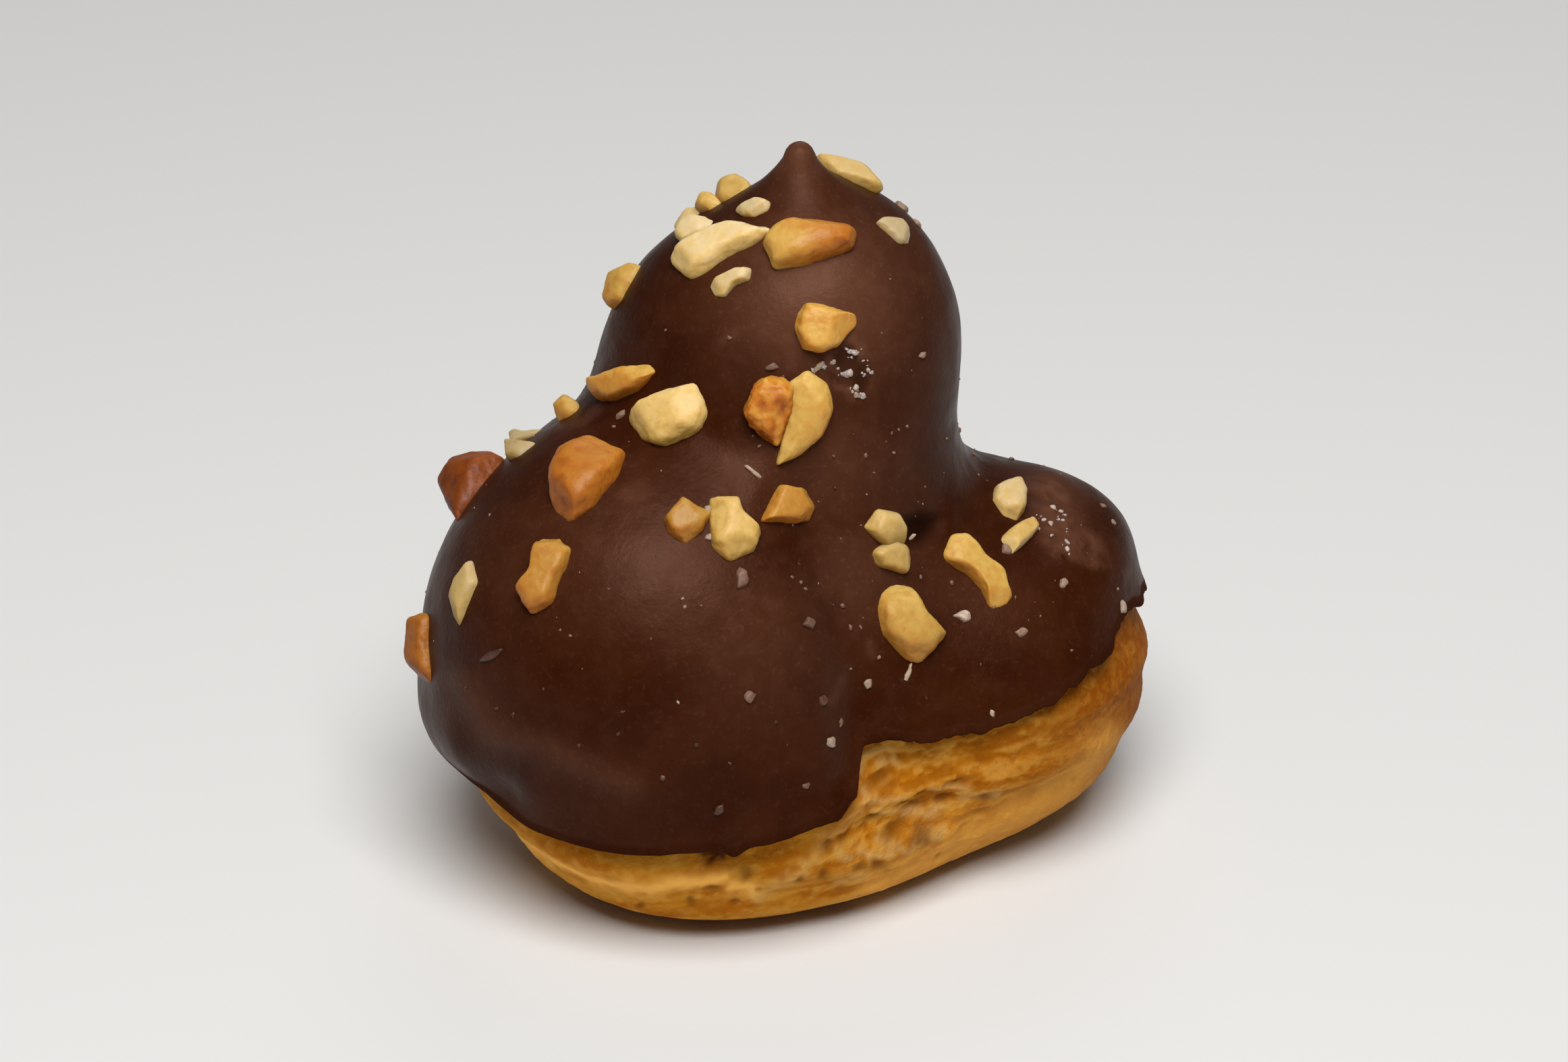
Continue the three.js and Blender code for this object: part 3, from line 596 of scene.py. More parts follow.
# Chocolate coat: dipped on, satin, with a rounded rim that laps onto the crust
coat = {
    "sides": 480,
    "outerRings": 180,
    "rimRings": 10,
    "innerRings": 6,
    "tipCrowding": 1.12,
    "rimDrop": 0.45,
    "rimLap": 1.7,  # how far in the rim's lip ends
    "innerInset": 0.85,
    "edgeSearch": {"polar": (60, 150), "halvings": 16},
    "thin": (-76, -60, 30, 80),  # bearings where the edge starts to be thin, is so, is still so and ends
    "bead": (0.16, 0.02),  # on the smooth left and the thin right
    "beadWidth": 1.3,
    "wobble": (0.05, 0.3),  # unevenness of the edge, likewise
    "tongue": {"bearing": -100.5, "half": 1.6, "drop": 0.6},
    "waves": ((6.5, 0.10), (2.4, 0.04)),  # size and rise in mm
    "grazing": (0.15, 0.6),  # where the small waves start, by how squarely the rays leave
    "inView": {"ahead": -6.0, "facing": (0.0, 0.25)},  # ahead of the heart in mm, turned to the viewer
    "dimple": {  # outline in pixels, softness in pixels, depth in mm
        "outline": (1137, 1019, 1148, 1015, 1160, 1017, 1158, 1026, 1149, 1034, 1140, 1033),
        "soft": 6.0, "depth": 0.45,
    },
    "dimpleLip": {"lines": [(1166, 1013, 1164, 1026, 1152, 1038)], "half": 6.0, "rise": 0.12},
    "chunk": {  # crumbled patch on the bump
        "outline": (
            1212, 997, 1218, 988, 1234, 980, 1275, 985, 1275, 1060, 1242, 1043, 1229, 1041, 1221, 1034,
            1218, 1014),
        "soft": 3.5, "wander": 4.0, "plainEdge": 10.0, "fade": 10.0, "rise": 0.15, "riseFade": 26.0,
        "facing": (0.1, 0.5), "crumbSize": 0.8, "crumbRise": (0.10, 0.10),  # all over, more at its edge
    },
    "chunkEdge": {
        "lines": [(1214, 990, 1213, 997, 1218, 1014, 1221, 1034, 1229, 1041, 1240, 1041)], "half": 6.0,
    },
    "hollow": {
        "outline": (
            1087, 921, 1097, 913, 1105, 905, 1112, 912, 1117, 925, 1116, 938, 1108, 946, 1100, 940,
            1092, 932),
        "soft": 3.5, "wander": 3.0, "depth": 0.22, "lumpSize": 1.3, "lumpRise": 0.35,
    },
    # ledge: a raised ridge on the left, which also carries a painted highlight streak
    "ledge": {"lines": [(872, 1116, 888, 1147, 921, 1154, 946, 1168, 972, 1177)], "half": 9.0, "rise": 0.14},
    "sheens": [  # paler where the light lies: across, down, half width, half height, turn, share
        (1088, 885, 62, 52, 0, 0.95), (1095, 985, 48, 36, 0, 0.5), (975, 1035, 80, 46, -10, 0.3),
        (1050, 1090, 52, 48, 0, 0.4), (1112, 1052, 38, 34, 0, 0.55), (1230, 1012, 18, 26, 0, 0.5),
        (1165, 1058, 40, 22, -20, 0.3), (900, 1050, 40, 50, 60, 0.2), (1075, 815, 30, 24, 0, 0.4),
        (974, 1003, 14, 8, 20, 0.5), (1004, 1056, 12, 9, 0, 0.45), (1040, 1062, 10, 7, 0, 0.4),
    ],
    # painted glints: small bright marks where the light catches the surface
    "paintedGlints": {
        "lines": [
            (930, 962, 945, 958, 952, 951), (1116, 1092, 1118, 1100), (1100, 1114, 1094, 1128),
            (1036, 906, 1028, 911),
        ],
        "half": 3.0,
    },
    # the tip's end gets painted highlight and bloom
    "tipEnd": {"place": (1.0, 2.6, 47.6), "half": 2.6, "bloomAndPaintedSheen": 0.95},
    "bloomBehind": {"share": 0.25, "facing": (-0.6, 0.2)},
    "dark": (0.024, 0.0040, 0.0004),
    "lit": (0.034, 0.0072, 0.0014),
    # bloom colour: the chocolate's pale bloom, and also painted sheen and highlights where the light lies
    "bloomAndPaintedSheen": (0.105, 0.041, 0.022),
    # bare: painted shade in the dimple and the hollow
    "bare": (0.007, 0.0009, 0.0001),
    "sheen": (1.0, 0.55, 0.40),
    "tone": (5.0, 0.35, 0.65),  # patches of dark and lit: size in mm, where the mask starts and is full
    "speckles": [  # patches, share where the painted sheen and bloom lie, share all over
        ((1.1, 0.42, 0.75), 0.25, 0.06), ((0.3, 0.55, 0.75), 0.45, 0.14),
    ],
    # share of painted sheen and bloom laid over the colour
    "paintedSheenAndBloomShare": 0.7,
    # share of that painted shade
    "hollowShadeShare": 0.9,
    "gloss": {"patches": (2.2, 0.35, 0.7), "spread": 0.12, "least": 0.36, "rough": 0.2, "dull": 0.6},
    "specular": 0.13,
    "grain": {"scale": 2400.0, "detail": 4.0, "roughness": 0.6, "strength": 0.4, "depth": 0.09},
}


def edgePolar(bearing, height):
    upper, lower = (np.full(len(bearing), math.radians(end)) for end in coat["edgeSearch"]["polar"])
    for _ in range(coat["edgeSearch"]["halvings"]):
        middle = (upper + lower) / 2
        above = surfacePoints(raysFromHeart(middle, bearing))[:, 2] > height
        upper = np.where(above, middle, upper)
        lower = np.where(above, lower, middle)
    return upper


def coatRelief(points):  # outward, in mm, and marks for the colours
    facing = formNormal(points)
    square = np.sum(facing * (points - heart), axis=1) / gapTo(points, heart)  # small where the rays graze
    (longWave, highWave), (ripple, highRipple) = coat["waves"]
    relief = highWave * noiseAt(points, longWave, 1, 1.0)
    relief = relief + highRipple * ease(square, *coat["grazing"]) * noiseAt(points, ripple, 2, 2.0)
    marks = {name: np.zeros(len(points)) for name in ("rough", "paintedSheenAndBloomMask", "hollow", "dull")}
    towards = facing @ towardsViewer
    least = coat["inView"]["facing"][0]
    ahead = (points - heart) @ towardsViewer
    seen = np.nonzero((ahead > coat["inView"]["ahead"]) & (towards > least))[0]
    spots = points[seen]
    pixels = pixelsOf(spots)
    wander = np.stack([noiseAt(spots, 1.0, 2, 3.0), noiseAt(spots, 1.0, 2, 4.0)], axis=1)
    inView = ease(towards[seen], *coat["inView"]["facing"])
    dimple = patchMark(pixels, coat["dimple"])
    lip, crumbly, dent, ledgeLine = (coat[name] for name in ("dimpleLip", "chunk", "hollow", "ledge"))
    lift = lip["rise"] * strokes(pixels, lip) - coat["dimple"]["depth"] * dimple
    inFromEdge = pathGap(pixels, asPairs(coat["chunkEdge"]["lines"][0]))
    inset = np.clip(inFromEdge - crumbly["plainEdge"], 0, None)
    inChunk = patchMark(pixels + crumbly["wander"] * wander, crumbly)
    inChunk = inChunk * ease(towards[seen], *crumbly["facing"])
    chunk = inChunk * np.exp(-((inset / crumbly["fade"]) ** 2))
    crumbled = noiseAt(spots, crumbly["crumbSize"], 3, 8.0)
    allOver, atEdge = crumbly["crumbRise"]
    lift += inChunk * np.exp(-((inset / crumbly["riseFade"]) ** 2)) * crumbly["rise"]
    lift += chunk * (allOver + atEdge * strokes(pixels, coat["chunkEdge"])) * crumbled
    hollow = patchMark(pixels + dent["wander"] * wander, dent)
    lumps = noiseAt(spots, dent["lumpSize"], 1, 5.0)
    lift -= hollow * (dent["depth"] - dent["lumpRise"] * lumps)
    grains = 0.6 * hollow * ease(lumps, 0.0, 0.4)
    ledge = strokes(pixels, ledgeLine)
    relief[seen] += (lift + ledgeLine["rise"] * ledge) * inView
    marks["rough"][seen] = np.clip(hollow + 0.8 * chunk, 0, 1)
    behind = coat["bloomBehind"]
    # even pale bloom on the sides turned away
    marks["paintedSheenAndBloomMask"][:] = behind["share"] * (1 - ease(towards, *behind["facing"]))
    # raised marks: the ledge's painted highlight streak, painted glints, the crumbled chunk's pale crumbs
    # and painted highlight, and sugar grains
    raised = 0.45 * ledge + chunk * (0.45 + 0.7 * crumbled) + 0.4 * strokes(pixels, coat["paintedGlints"]) + grains
    # painted sheen and highlights where the light lies, with the raised marks
    marks["paintedSheenAndBloomMask"][seen] += np.clip(ovals(pixels, coat["sheens"]) + raised, 0, 1.3) * inView
    # painted shade in the dimple and the hollow, lighter where sugar grains lie
    marks["hollow"][seen] = np.clip(dimple + 0.6 * hollow - 1.2 * grains, 0, 1)
    marks["dull"][seen] = np.clip(dimple + 0.6 * hollow, 0, 1)
    # painted highlight and bloom at the tip's end
    tipEnd = coat["tipEnd"]
    onTip = np.exp(-((gapTo(points, tipEnd["place"]) / tipEnd["half"]) ** 2))
    marks["paintedSheenAndBloomMask"] = np.maximum(marks["paintedSheenAndBloomMask"], tipEnd["bloomAndPaintedSheen"] * onTip)
    return relief, marks


def coatPlace(ring, bearing):
    around, which = np.unique(np.round(bearing, 4), return_inverse=True)
    onEdge = np.stack([10 * np.cos(around), 10 * np.sin(around), 0 * around], axis=1)
    degrees = np.mod(np.degrees(around) + 180, 360) - 180
    thin = stretch(degrees, coat["thin"])
    smooth, ragged = coat["wobble"]
    tongue = coat["tongue"]
    height = edgeHeight(around) + (smooth + (ragged - smooth) * thin) * noiseAt(onEdge, 0.5, 3, 4.0)
    height = height - tongue["drop"] * np.exp(-(((degrees - tongue["bearing"]) / tongue["half"]) ** 2))
    edge = edgePolar(around, height)[which]
    outer, rim = coat["outerRings"], coat["rimRings"]
    last = outer + rim + coat["innerRings"]
    share = np.clip(ring / outer, 0, 1) ** coat["tipCrowding"]
    turn = np.clip((ring - outer) / rim, 0, 1)
    back = np.clip((ring - outer - rim) / coat["innerRings"], 0, 1)
    reach = np.linalg.norm(surfacePoints(raysFromHeart(edge, bearing)) - heart, axis=1)
    drop = coat["rimDrop"] * np.sin(math.pi * 0.75 * turn) / reach
    polar = edge * share + drop
    polar = np.where(back > 0, edge * (1 - back), polar)
    rays = raysFromHeart(polar, bearing)
    relief, marks = coatRelief(surfacePoints(rays))
    fullBead, thinBead = coat["bead"]
    bead = fullBead + (thinBead - fullBead) * thin[which]
    raised = relief + bead * np.exp(-(((1 - share) * edge * reach / coat["beadWidth"]) ** 2))
    inset = -raised + (coat["rimLap"] + raised) * (1 - np.cos(math.pi / 2 * turn))
    inset = np.where(back > 0, coat["innerInset"], inset)
    points = surfacePoints(rays, inset)
    points[ring == last] = surfacePoints(raysFromHeart(np.zeros(1), np.zeros(1)), coat["innerInset"])
    marks["dull"] = np.where(ring >= outer - 1, 1.0, marks["dull"])
    return points, marks


def chocolateMaterial():
    material, tree, shader = newMaterial("darkChocolate")
    colour = mixColour(tree, patches(tree, *coat["tone"]), coat["dark"], coat["lit"])
    paintedSheenAndBloomMask = attributeOf(tree, "paintedSheenAndBloomMask")
    # pale speckles of bloom, stronger where the painted sheen lies
    for kind, times, plus in coat["speckles"]:
        weight = calc(tree, "MULTIPLY", patches(tree, *kind), gain(tree, paintedSheenAndBloomMask, times, plus))
        colour = mixColour(tree, weight, colour, coat["bloomAndPaintedSheen"])
    # then the painted sheen and bloom themselves
    colour = mixColour(tree, calc(tree, "MULTIPLY", paintedSheenAndBloomMask, coat["paintedSheenAndBloomShare"]), colour, coat["bloomAndPaintedSheen"])
    # painted shade in the dimple and the hollow
    bare = calc(tree, "MULTIPLY", attributeOf(tree, "hollow"), coat["hollowShadeShare"])
    colour = mixColour(tree, bare, colour, coat["bare"])
    tree.links.new(colour, shader.inputs["Base Color"])
    gloss = coat["gloss"]
    roughness = gain(tree, patches(tree, *gloss["patches"]), gloss["spread"], gloss["least"])
    for mark in ("rough", "dull"):
        roughness = gain(tree, attributeOf(tree, mark), gloss[mark], roughness)
    tree.links.new(roughness, shader.inputs["Roughness"])
    shader.inputs["Specular IOR Level"].default_value = coat["specular"]
    shader.inputs["Specular Tint"].default_value = (*coat["sheen"], 1.0)
    roughen(tree, shader, coat["grain"])
    return material


coatRings = coat["outerRings"] + coat["rimRings"] + coat["innerRings"]
chocolateCoat = makePiece(
    "chocolateCoat", wrapSphere(coat["sides"], coatRings, coatPlace), chocolateMaterial())
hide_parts("chocolate_coat")

# Chopped nuts: those in front have the outlines the photo shows, the rest are seeded draws
nuts = {
    "inFront": [  # toast from 0 to 1, thickness, outline in pixels
        (0.2, 1.6, (1084, 798, 1090, 800, 1106, 802, 1117, 807, 1126, 818, 1121, 820, 1113, 817, 1096, 812,
            1087, 804)),
        (0.3, 1.6, (1022, 818, 1029, 813, 1038, 811, 1045, 816, 1047, 820, 1044, 827, 1038, 829, 1030, 830,
            1024, 827)),
        (0.3, 1.4, (1011, 829, 1017, 822, 1024, 824, 1030, 830, 1029, 836, 1022, 836, 1015, 833)),
        (0.1, 1.0, (997, 838, 1006, 830, 1016, 829, 1019, 834, 1007, 837, 999, 842)),
        (0.02, 1.3, (1000, 848, 1003, 840, 1010, 836, 1019, 837, 1025, 841, 1016, 848, 1005, 852)),
        (0.02, 1.0, (1036, 832, 1042, 828, 1050, 825, 1057, 827, 1055, 832, 1047, 836, 1040, 835)),
        (0.08, 2.0, (997, 860, 1003, 854, 1026, 843, 1040, 839, 1051, 839, 1055, 844, 1048, 851, 1030, 860,
            1019, 868, 1010, 872, 1000, 866)),
        (0.48, 2.6, (1053, 851, 1060, 842, 1075, 836, 1087, 836, 1101, 838, 1107, 846, 1106, 854, 1092, 860,
            1077, 865, 1060, 866, 1056, 858)),
        (0.05, 1.2, (1020, 878, 1025, 873, 1038, 867, 1045, 867, 1044, 874, 1036, 877, 1030, 884,
            1023, 883)),
        (0.0, 1.0, (1120, 840, 1124, 837, 1135, 838, 1141, 845, 1141, 851, 1134, 852, 1128, 847)),
        (0.38, 2.6, (1074, 895, 1078, 888, 1088, 889, 1100, 893, 1108, 895, 1108, 901, 1097, 913, 1087, 917,
            1077, 915, 1072, 903)),
        (0.36, 1.8, (958, 887, 962, 870, 974, 864, 981, 867, 979, 877, 971, 889, 962, 892)),
        (0.4, 1.9, (948, 933, 954, 932, 969, 927, 984, 925, 987, 930, 978, 940, 963, 947, 954, 946,
            950, 940)),
        (0.38, 1.4, (927, 951, 934, 944, 940, 947, 946, 954, 939, 959, 930, 961)),
        (0.0, 0.7, (896, 960, 906, 963, 925, 961, 924, 965, 911, 967, 897, 970)),
        (0.1, 1.2, (897, 971, 906, 972, 918, 974, 911, 984, 898, 982)),
        (0.16, 2.4, (971, 958, 978, 948, 993, 942, 1014, 936, 1018, 953, 1014, 964, 994, 975, 981, 971)),
        (0.54, 2.6, (1041, 951, 1046, 940, 1054, 931, 1064, 933, 1071, 940, 1070, 953, 1066, 963, 1061, 973,
            1052, 968, 1045, 960)),
        (0.3, 1.9, (1068, 937, 1080, 928, 1091, 937, 1094, 951, 1088, 967, 1076, 977, 1060, 985, 1065, 966,
            1069, 951)),
        (0.63, 2.8, (925, 993, 931, 980, 948, 971, 969, 978, 963, 993, 949, 1010, 936, 1018, 926, 1013)),
        (0.9, 2.4, (852, 993, 862, 975, 878, 970, 890, 976, 888, 986, 878, 1003, 867, 1020, 858, 1006)),
        (0.45, 1.9, (993, 1018, 1003, 1006, 1012, 1012, 1021, 1014, 1016, 1025, 1006, 1032, 996, 1026)),
        (0.25, 2.3, (1021, 1006, 1036, 1006, 1039, 1015, 1050, 1025, 1047, 1036, 1032, 1043, 1022, 1034,
            1020, 1019)),
        (0.48, 2.0, (1052, 1019, 1061, 998, 1077, 1001, 1082, 1010, 1080, 1019, 1070, 1020)),
        (0.47, 1.9, (920, 1026, 928, 1026, 930, 1033, 936, 1036, 934, 1046, 930, 1053, 925, 1068, 913, 1074,
            905, 1061, 915, 1049, 915, 1038)),
        (0.12, 1.2, (869, 1053, 876, 1043, 881, 1056, 875, 1071, 869, 1083, 864, 1079, 865, 1066)),
        (0.6, 1.8, (841, 1077, 847, 1074, 854, 1077, 855, 1094, 858, 1112, 855, 1120, 847, 1117, 840, 1102)),
        (0.2, 1.5, (1113, 1022, 1121, 1012, 1133, 1014, 1137, 1022, 1137, 1033, 1131, 1037, 1124, 1033,
            1119, 1029)),
        (0.22, 1.5, (1118, 1038, 1124, 1033, 1131, 1030, 1138, 1034, 1142, 1042, 1137, 1051, 1130, 1049,
            1121, 1046)),
        (0.14, 1.8, (1191, 1000, 1197, 997, 1207, 995, 1211, 1004, 1209, 1014, 1204, 1020, 1196, 1016,
            1190, 1008)),
        (0.0, 1.3, (1194, 1033, 1197, 1027, 1207, 1021, 1216, 1017, 1219, 1023, 1213, 1030, 1202, 1039,
            1196, 1036)),
        (0.37, 1.9, (1158, 1039, 1164, 1028, 1173, 1027, 1179, 1033, 1184, 1041, 1197, 1050, 1199, 1061,
            1202, 1065, 1196, 1073, 1188, 1071, 1184, 1061, 1175, 1051, 1161, 1044)),
        (0.36, 2.4, (1121, 1071, 1123, 1062, 1131, 1055, 1140, 1059, 1148, 1074, 1161, 1087, 1153, 1097,
            1146, 1104, 1138, 1102, 1125, 1087)),
    ],
    "tries": 260, "mostFacing": -0.45, "polarFrom": 24, "polarTo": 98, "crowding": 1.3, "spacing": 3.2,
    "lengthFrom": 2.2, "lengthTo": 5.6, "shortness": 1.4, "widthFrom": 0.5, "widthMore": 0.3, "rise": 0.3,
    "thickness": 0.72,  # of the width, for those by seeded draws
    "toastBehind": (0.05, 0.75, 1.5),  # least, how much more, power
    "corners": 7,
    "raggedBehind": 0.6,
    "craggyBehind": 1.6,
    "brightBehind": (0.65, 0.35),
    "sink": 0.36,  # share of the thickness pressed into the coat
    "edgeSink": 0.12,  # likewise, for those that stand out at the outline
    "fullness": 1.1,
    "leastFacing": 0.65,
    "taper": 0.2,
    "squareness": 3.0,
    "cuts": [  # lean from and to, depth from and to
        (4, 16, 0.7, 0.9), (30, 60, 0.68, 0.9), (35, 65, 0.68, 0.9),
    ],
    "cutSoftness": 0.035,
    "lumps": (0.05, 0.8),  # share of the size, spacing in mm
    "pimples": (0.03, 0.35),  # rise and spacing in mm
    "detail": {"thin": 4, "thick": 5, "thickFrom": 1.7},
    "softening": {2: 0, 3: 0, 4: 2, 5: 5},  # rounds of smoothing, by detail
    "paintedLightFacing": (0.05, 0.0, 0.15),  # painted light: the way a nut's facets grow paler as they turn up and to the right
    "leans": {8: (0.2, 0.15), 19: (0.2, 0.0), 11: (0.05, 0.08)},  # toast to the right and upwards, by number
    "craggy": {18: 2.2},
    "toneAndPaintedLight": {  # brightness where it isn't 1, by number: partly each nut's own tone, partly painted shade and light
        1: 0.76, 2: 0.84, 4: 0.79, 5: 0.9, 6: 0.81, 8: 1.05, 9: 0.84, 10: 0.62, 11: 1.2, 12: 0.93, 13: 1.1,
        14: 0.9, 15: 0.6, 16: 0.57, 18: 1.2, 19: 1.08, 20: 0.97, 22: 0.85, 23: 0.93, 24: 0.97, 25: 0.93,
        26: 0.67, 27: 0.8, 28: 0.78, 29: 0.73, 30: 0.8, 31: 0.85, 32: 1.05, 33: 0.96,
    },
    "colours": [  # toast, colour
        (0.0, (0.70, 0.53, 0.28)), (0.15, (0.68, 0.45, 0.15)), (0.3, (0.52, 0.31, 0.068)),
        (0.45, (0.45, 0.20, 0.028)), (0.6, (0.39, 0.125, 0.011)), (0.8, (0.22, 0.05, 0.004)),
        (1.0, (0.10, 0.016, 0.001)),
    ],
    "toasted": {"more": 0.05, "uneven": 0.05},
    "speckle": {"patches": (0.6, 0.42, 0.7), "share": 0.07},
    "roughness": 0.45,
    "specular": 0.25,
    "glow": {"weight": 0.4, "radius": (1.0, 0.6, 0.2), "scale": 0.0008},  # light under the surface
    "grain": {"scale": 2600.0, "detail": 3.0, "roughness": 0.5, "strength": 0.4, "depth": 0.12},
}


seedStep = 3.1  # keeps the draws of one chip apart from the next


def middleOf(corners):
    after = np.roll(corners, -1, axis=0)
    cross = corners[:, 0] * after[:, 1] - after[:, 0] * corners[:, 1]
    return ((corners + after) * cross[:, None]).sum(axis=0) / (3 * cross.sum())


def nutsInFront():
    outlines = [asPairs(row[2]) for row in nuts["inFront"]]
    middles = np.array([middleOf(corners) for corners in outlines])
    points = seenPoints(middles)
    missedBy = np.linalg.norm(pixelsOf(points) - middles, axis=1)
    least, detail = nuts["leastFacing"], nuts["detail"]
    made = []
    for index, (toast, thick, _) in enumerate(nuts["inFront"]):
        number = index + 1
        normal = formNormal(points[index][None])[0]
        facing = normal @ towardsViewer
        if facing < least:  # lean it until its outline can be seen
            sideways = normal - towardsViewer * facing
            sideways = sideways / np.linalg.norm(sideways)
            normal = sideways * math.sqrt(1 - least * least) + towardsViewer * least
        right, up = ((outlines[index] - middles[index]) * (1, -1) * viewpoint["pixel"] * nuts["fullness"]).T
        ahead = -(right * (viewRight @ normal) + up * (viewUp @ normal)) / (normal @ towardsViewer)
        flat = np.outer(right, viewRight) + np.outer(up, viewUp) + np.outer(ahead, towardsViewer)
        tangent = viewRight - normal * (viewRight @ normal)
        tangent = tangent / np.linalg.norm(tangent)
        outline = np.stack([flat @ tangent, flat @ np.cross(normal, tangent)], axis=1)[::-1]
        made.append({
            "point": points[index], "normal": normal, "tangent": tangent, "outline": outline, "thick": thick,
            "toast": toast, "seed": number, "sink": nuts["edgeSink" if missedBy[index] > 3 else "sink"],
            # bright: each nut's tone, with painted shade and light for those in front
            "craggy": nuts["craggy"].get(number, 1.0), "bright": nuts["toneAndPaintedLight"].get(number, 1.0),
            "lean": nuts["leans"].get(number, (0.0, 0.0)),
            "detail": detail["thick" if thick > detail["thickFrom"] else "thin"],
        })
    return made


def seededChip(point, along, length, width, thick, toast, seed, ragged, detail):
    normal = formNormal(point[None])[0]
    tangent = along - normal * (along @ normal)
    tangent = tangent / np.linalg.norm(tangent)
    outline = []
    for corner in range(nuts["corners"]):
        angle = 2 * math.pi * (corner + 0.8 * (draw(seed + 31 * corner) - 0.5)) / nuts["corners"]
        reach = 1 + ragged * (draw(seed + 37 * corner) - 0.5)
        outline.append((math.cos(angle) * reach * length / 2, math.sin(angle) * reach * width / 2))
    dim, more = nuts["brightBehind"]
    return {
        "point": point, "normal": normal, "tangent": tangent, "outline": np.array(outline), "thick": thick,
        "toast": toast, "seed": seed, "sink": nuts["sink"], "craggy": nuts["craggyBehind"],
        "bright": dim + more * draw(seed * seedStep + 41), "lean": (0.0, 0.0), "detail": detail,
    }


def nutsBehind(soFar):
    made = []
    top, bottom = (math.cos(math.radians(nuts[key])) for key in ("polarFrom", "polarTo"))
    for index in range(nuts["tries"]):
        height = top + (bottom - top) * draw(index + 500) ** nuts["crowding"]
        ray = raysFromHeart(np.array([math.acos(height)]), np.array([2 * math.pi * draw(index + 700)]))
        point = surfacePoints(ray)[0]
        outOfView = formNormal(point[None])[0] @ towardsViewer < nuts["mostFacing"]
        if outOfView and all(np.linalg.norm(nut["point"] - point) > nuts["spacing"] for nut in soFar + made):
            turn = 2 * math.pi * draw(index + 200)
            along = np.array([math.cos(turn), math.sin(turn), nuts["rise"]])
            more = (nuts["lengthTo"] - nuts["lengthFrom"]) * draw(index + 300) ** nuts["shortness"]
            length = nuts["lengthFrom"] + more
            width = length * (nuts["widthFrom"] + nuts["widthMore"] * draw(index + 400))
            least, spread, power = nuts["toastBehind"]
            toast = least + spread * draw(index + 900) ** power
            thick = nuts["thickness"] * width
            ragged, detail = nuts["raggedBehind"], nuts["detail"]["thin"]
            made.append(seededChip(point, along, length, width, thick, toast, index + 100, ragged, detail))
    return made


def outlinePoints(outline, share):  # places round the outline, evenly spaced by share
    closed = np.vstack([outline, outline[:1]])
    run = np.concatenate([[0.0], np.cumsum(np.linalg.norm(np.diff(closed, axis=0), axis=1))])
    return np.stack([np.interp(share * run[-1], run, closed[:, axis]) for axis in (0, 1)], axis=1)


def chipShape(chip, ball, seed):
    level = np.hypot(ball[:, 0], ball[:, 1])
    square = nuts["squareness"]
    swell = (level ** square + np.abs(ball[:, 2]) ** square) ** (-1 / square)
    height = ball[:, 2] * swell
    plan = level * swell * (1 - nuts["taper"] * (height + 1) / 2)
    share = np.mod(np.arctan2(ball[:, 1], ball[:, 0]) / (2 * math.pi), 1.0)
    half = chip["thick"] / 2
    shape = np.column_stack([outlinePoints(chip["outline"], share) * plan[:, None], height * half])
    for cut, (leanFrom, leanTo, depthFrom, depthTo) in enumerate(nuts["cuts"]):
        lean = math.radians(leanFrom + (leanTo - leanFrom) * draw(seed + 11 * cut))
        towards = 2 * math.pi * draw(seed + 13 * cut + 5)
        aside = math.sin(lean)
        facing = np.array([aside * math.cos(towards), aside * math.sin(towards), math.cos(lean)])
        farthest = (shape @ facing).max()
        limit = farthest * (depthFrom + (depthTo - depthFrom) * draw(seed + 17 * cut))
        soft = nuts["cutSoftness"] * chip["thick"]
        over = soft * np.logaddexp(0.0, (shape @ facing - limit) / soft)
        shape = shape - over[:, None] * facing
    return shape


def addChip(bm, chip):
    single = bmesh.new()
    toastLayer = single.verts.layers.float.new("toast")
    brightLayer = single.verts.layers.float.new("bright")
    verts = bmesh.ops.create_icosphere(single, subdivisions=chip["detail"], radius=1.0)["verts"]
    seed = chip["seed"] * seedStep
    craggy = chip["craggy"]
    lumpy, lumpSpacing = nuts["lumps"]
    shape = chipShape(chip, np.array([v.co for v in verts]), seed)
    shape = shape * (1 + craggy * lumpy * noiseAt(shape + seed, lumpSpacing, 2))[:, None]
    middle = chip["point"] + chip["normal"] * (0.5 - chip["sink"]) * chip["thick"]
    axes = np.stack([chip["tangent"], np.cross(chip["normal"], chip["tangent"]), chip["normal"]])
    for vert, place in zip(verts, toMetres(middle + shape @ axes)):
        vert.co = place
    bmesh.ops.recalc_face_normals(single, faces=single.faces)
    everyWay = {"use_axis_x": True, "use_axis_y": True, "use_axis_z": True}
    for _ in range(nuts["softening"][chip["detail"]]):
        bmesh.ops.smooth_vert(single, verts=verts, factor=0.5, **everyWay)
    single.normal_update()
    facing = np.array([v.normal for v in verts])
    pimple, pimpleSpacing = nuts["pimples"]
    lift = craggy * pimple * noiseAt(shape + seed, pimpleSpacing, 3, 2.0) * mm
    right, up = chip["lean"]
    tilted = (shape @ axes) / (np.abs(shape).max() + 1e-9)
    toast = chip["toast"] + tilted @ (right * viewRight + up * viewUp)
    # painted light and shade: facets turned up and right paler, those turned down more toasted
    toast = toast - facing @ np.array(nuts["paintedLightFacing"]) + nuts["toasted"]["more"]
    toast = toast + nuts["toasted"]["uneven"] * craggy ** 2 * noiseAt(shape + seed, lumpSpacing, 3, 1.0)
    for vert, normal, rise, value in zip(verts, facing, lift, toast):
        vert.co = vert.co + Vector(normal * rise)
        vert[toastLayer] = value
        vert[brightLayer] = chip["bright"]
    scratch = bpy.data.meshes.new("chip")
    single.to_mesh(scratch)
    single.free()
    bm.from_mesh(scratch)
    bpy.data.meshes.remove(scratch)


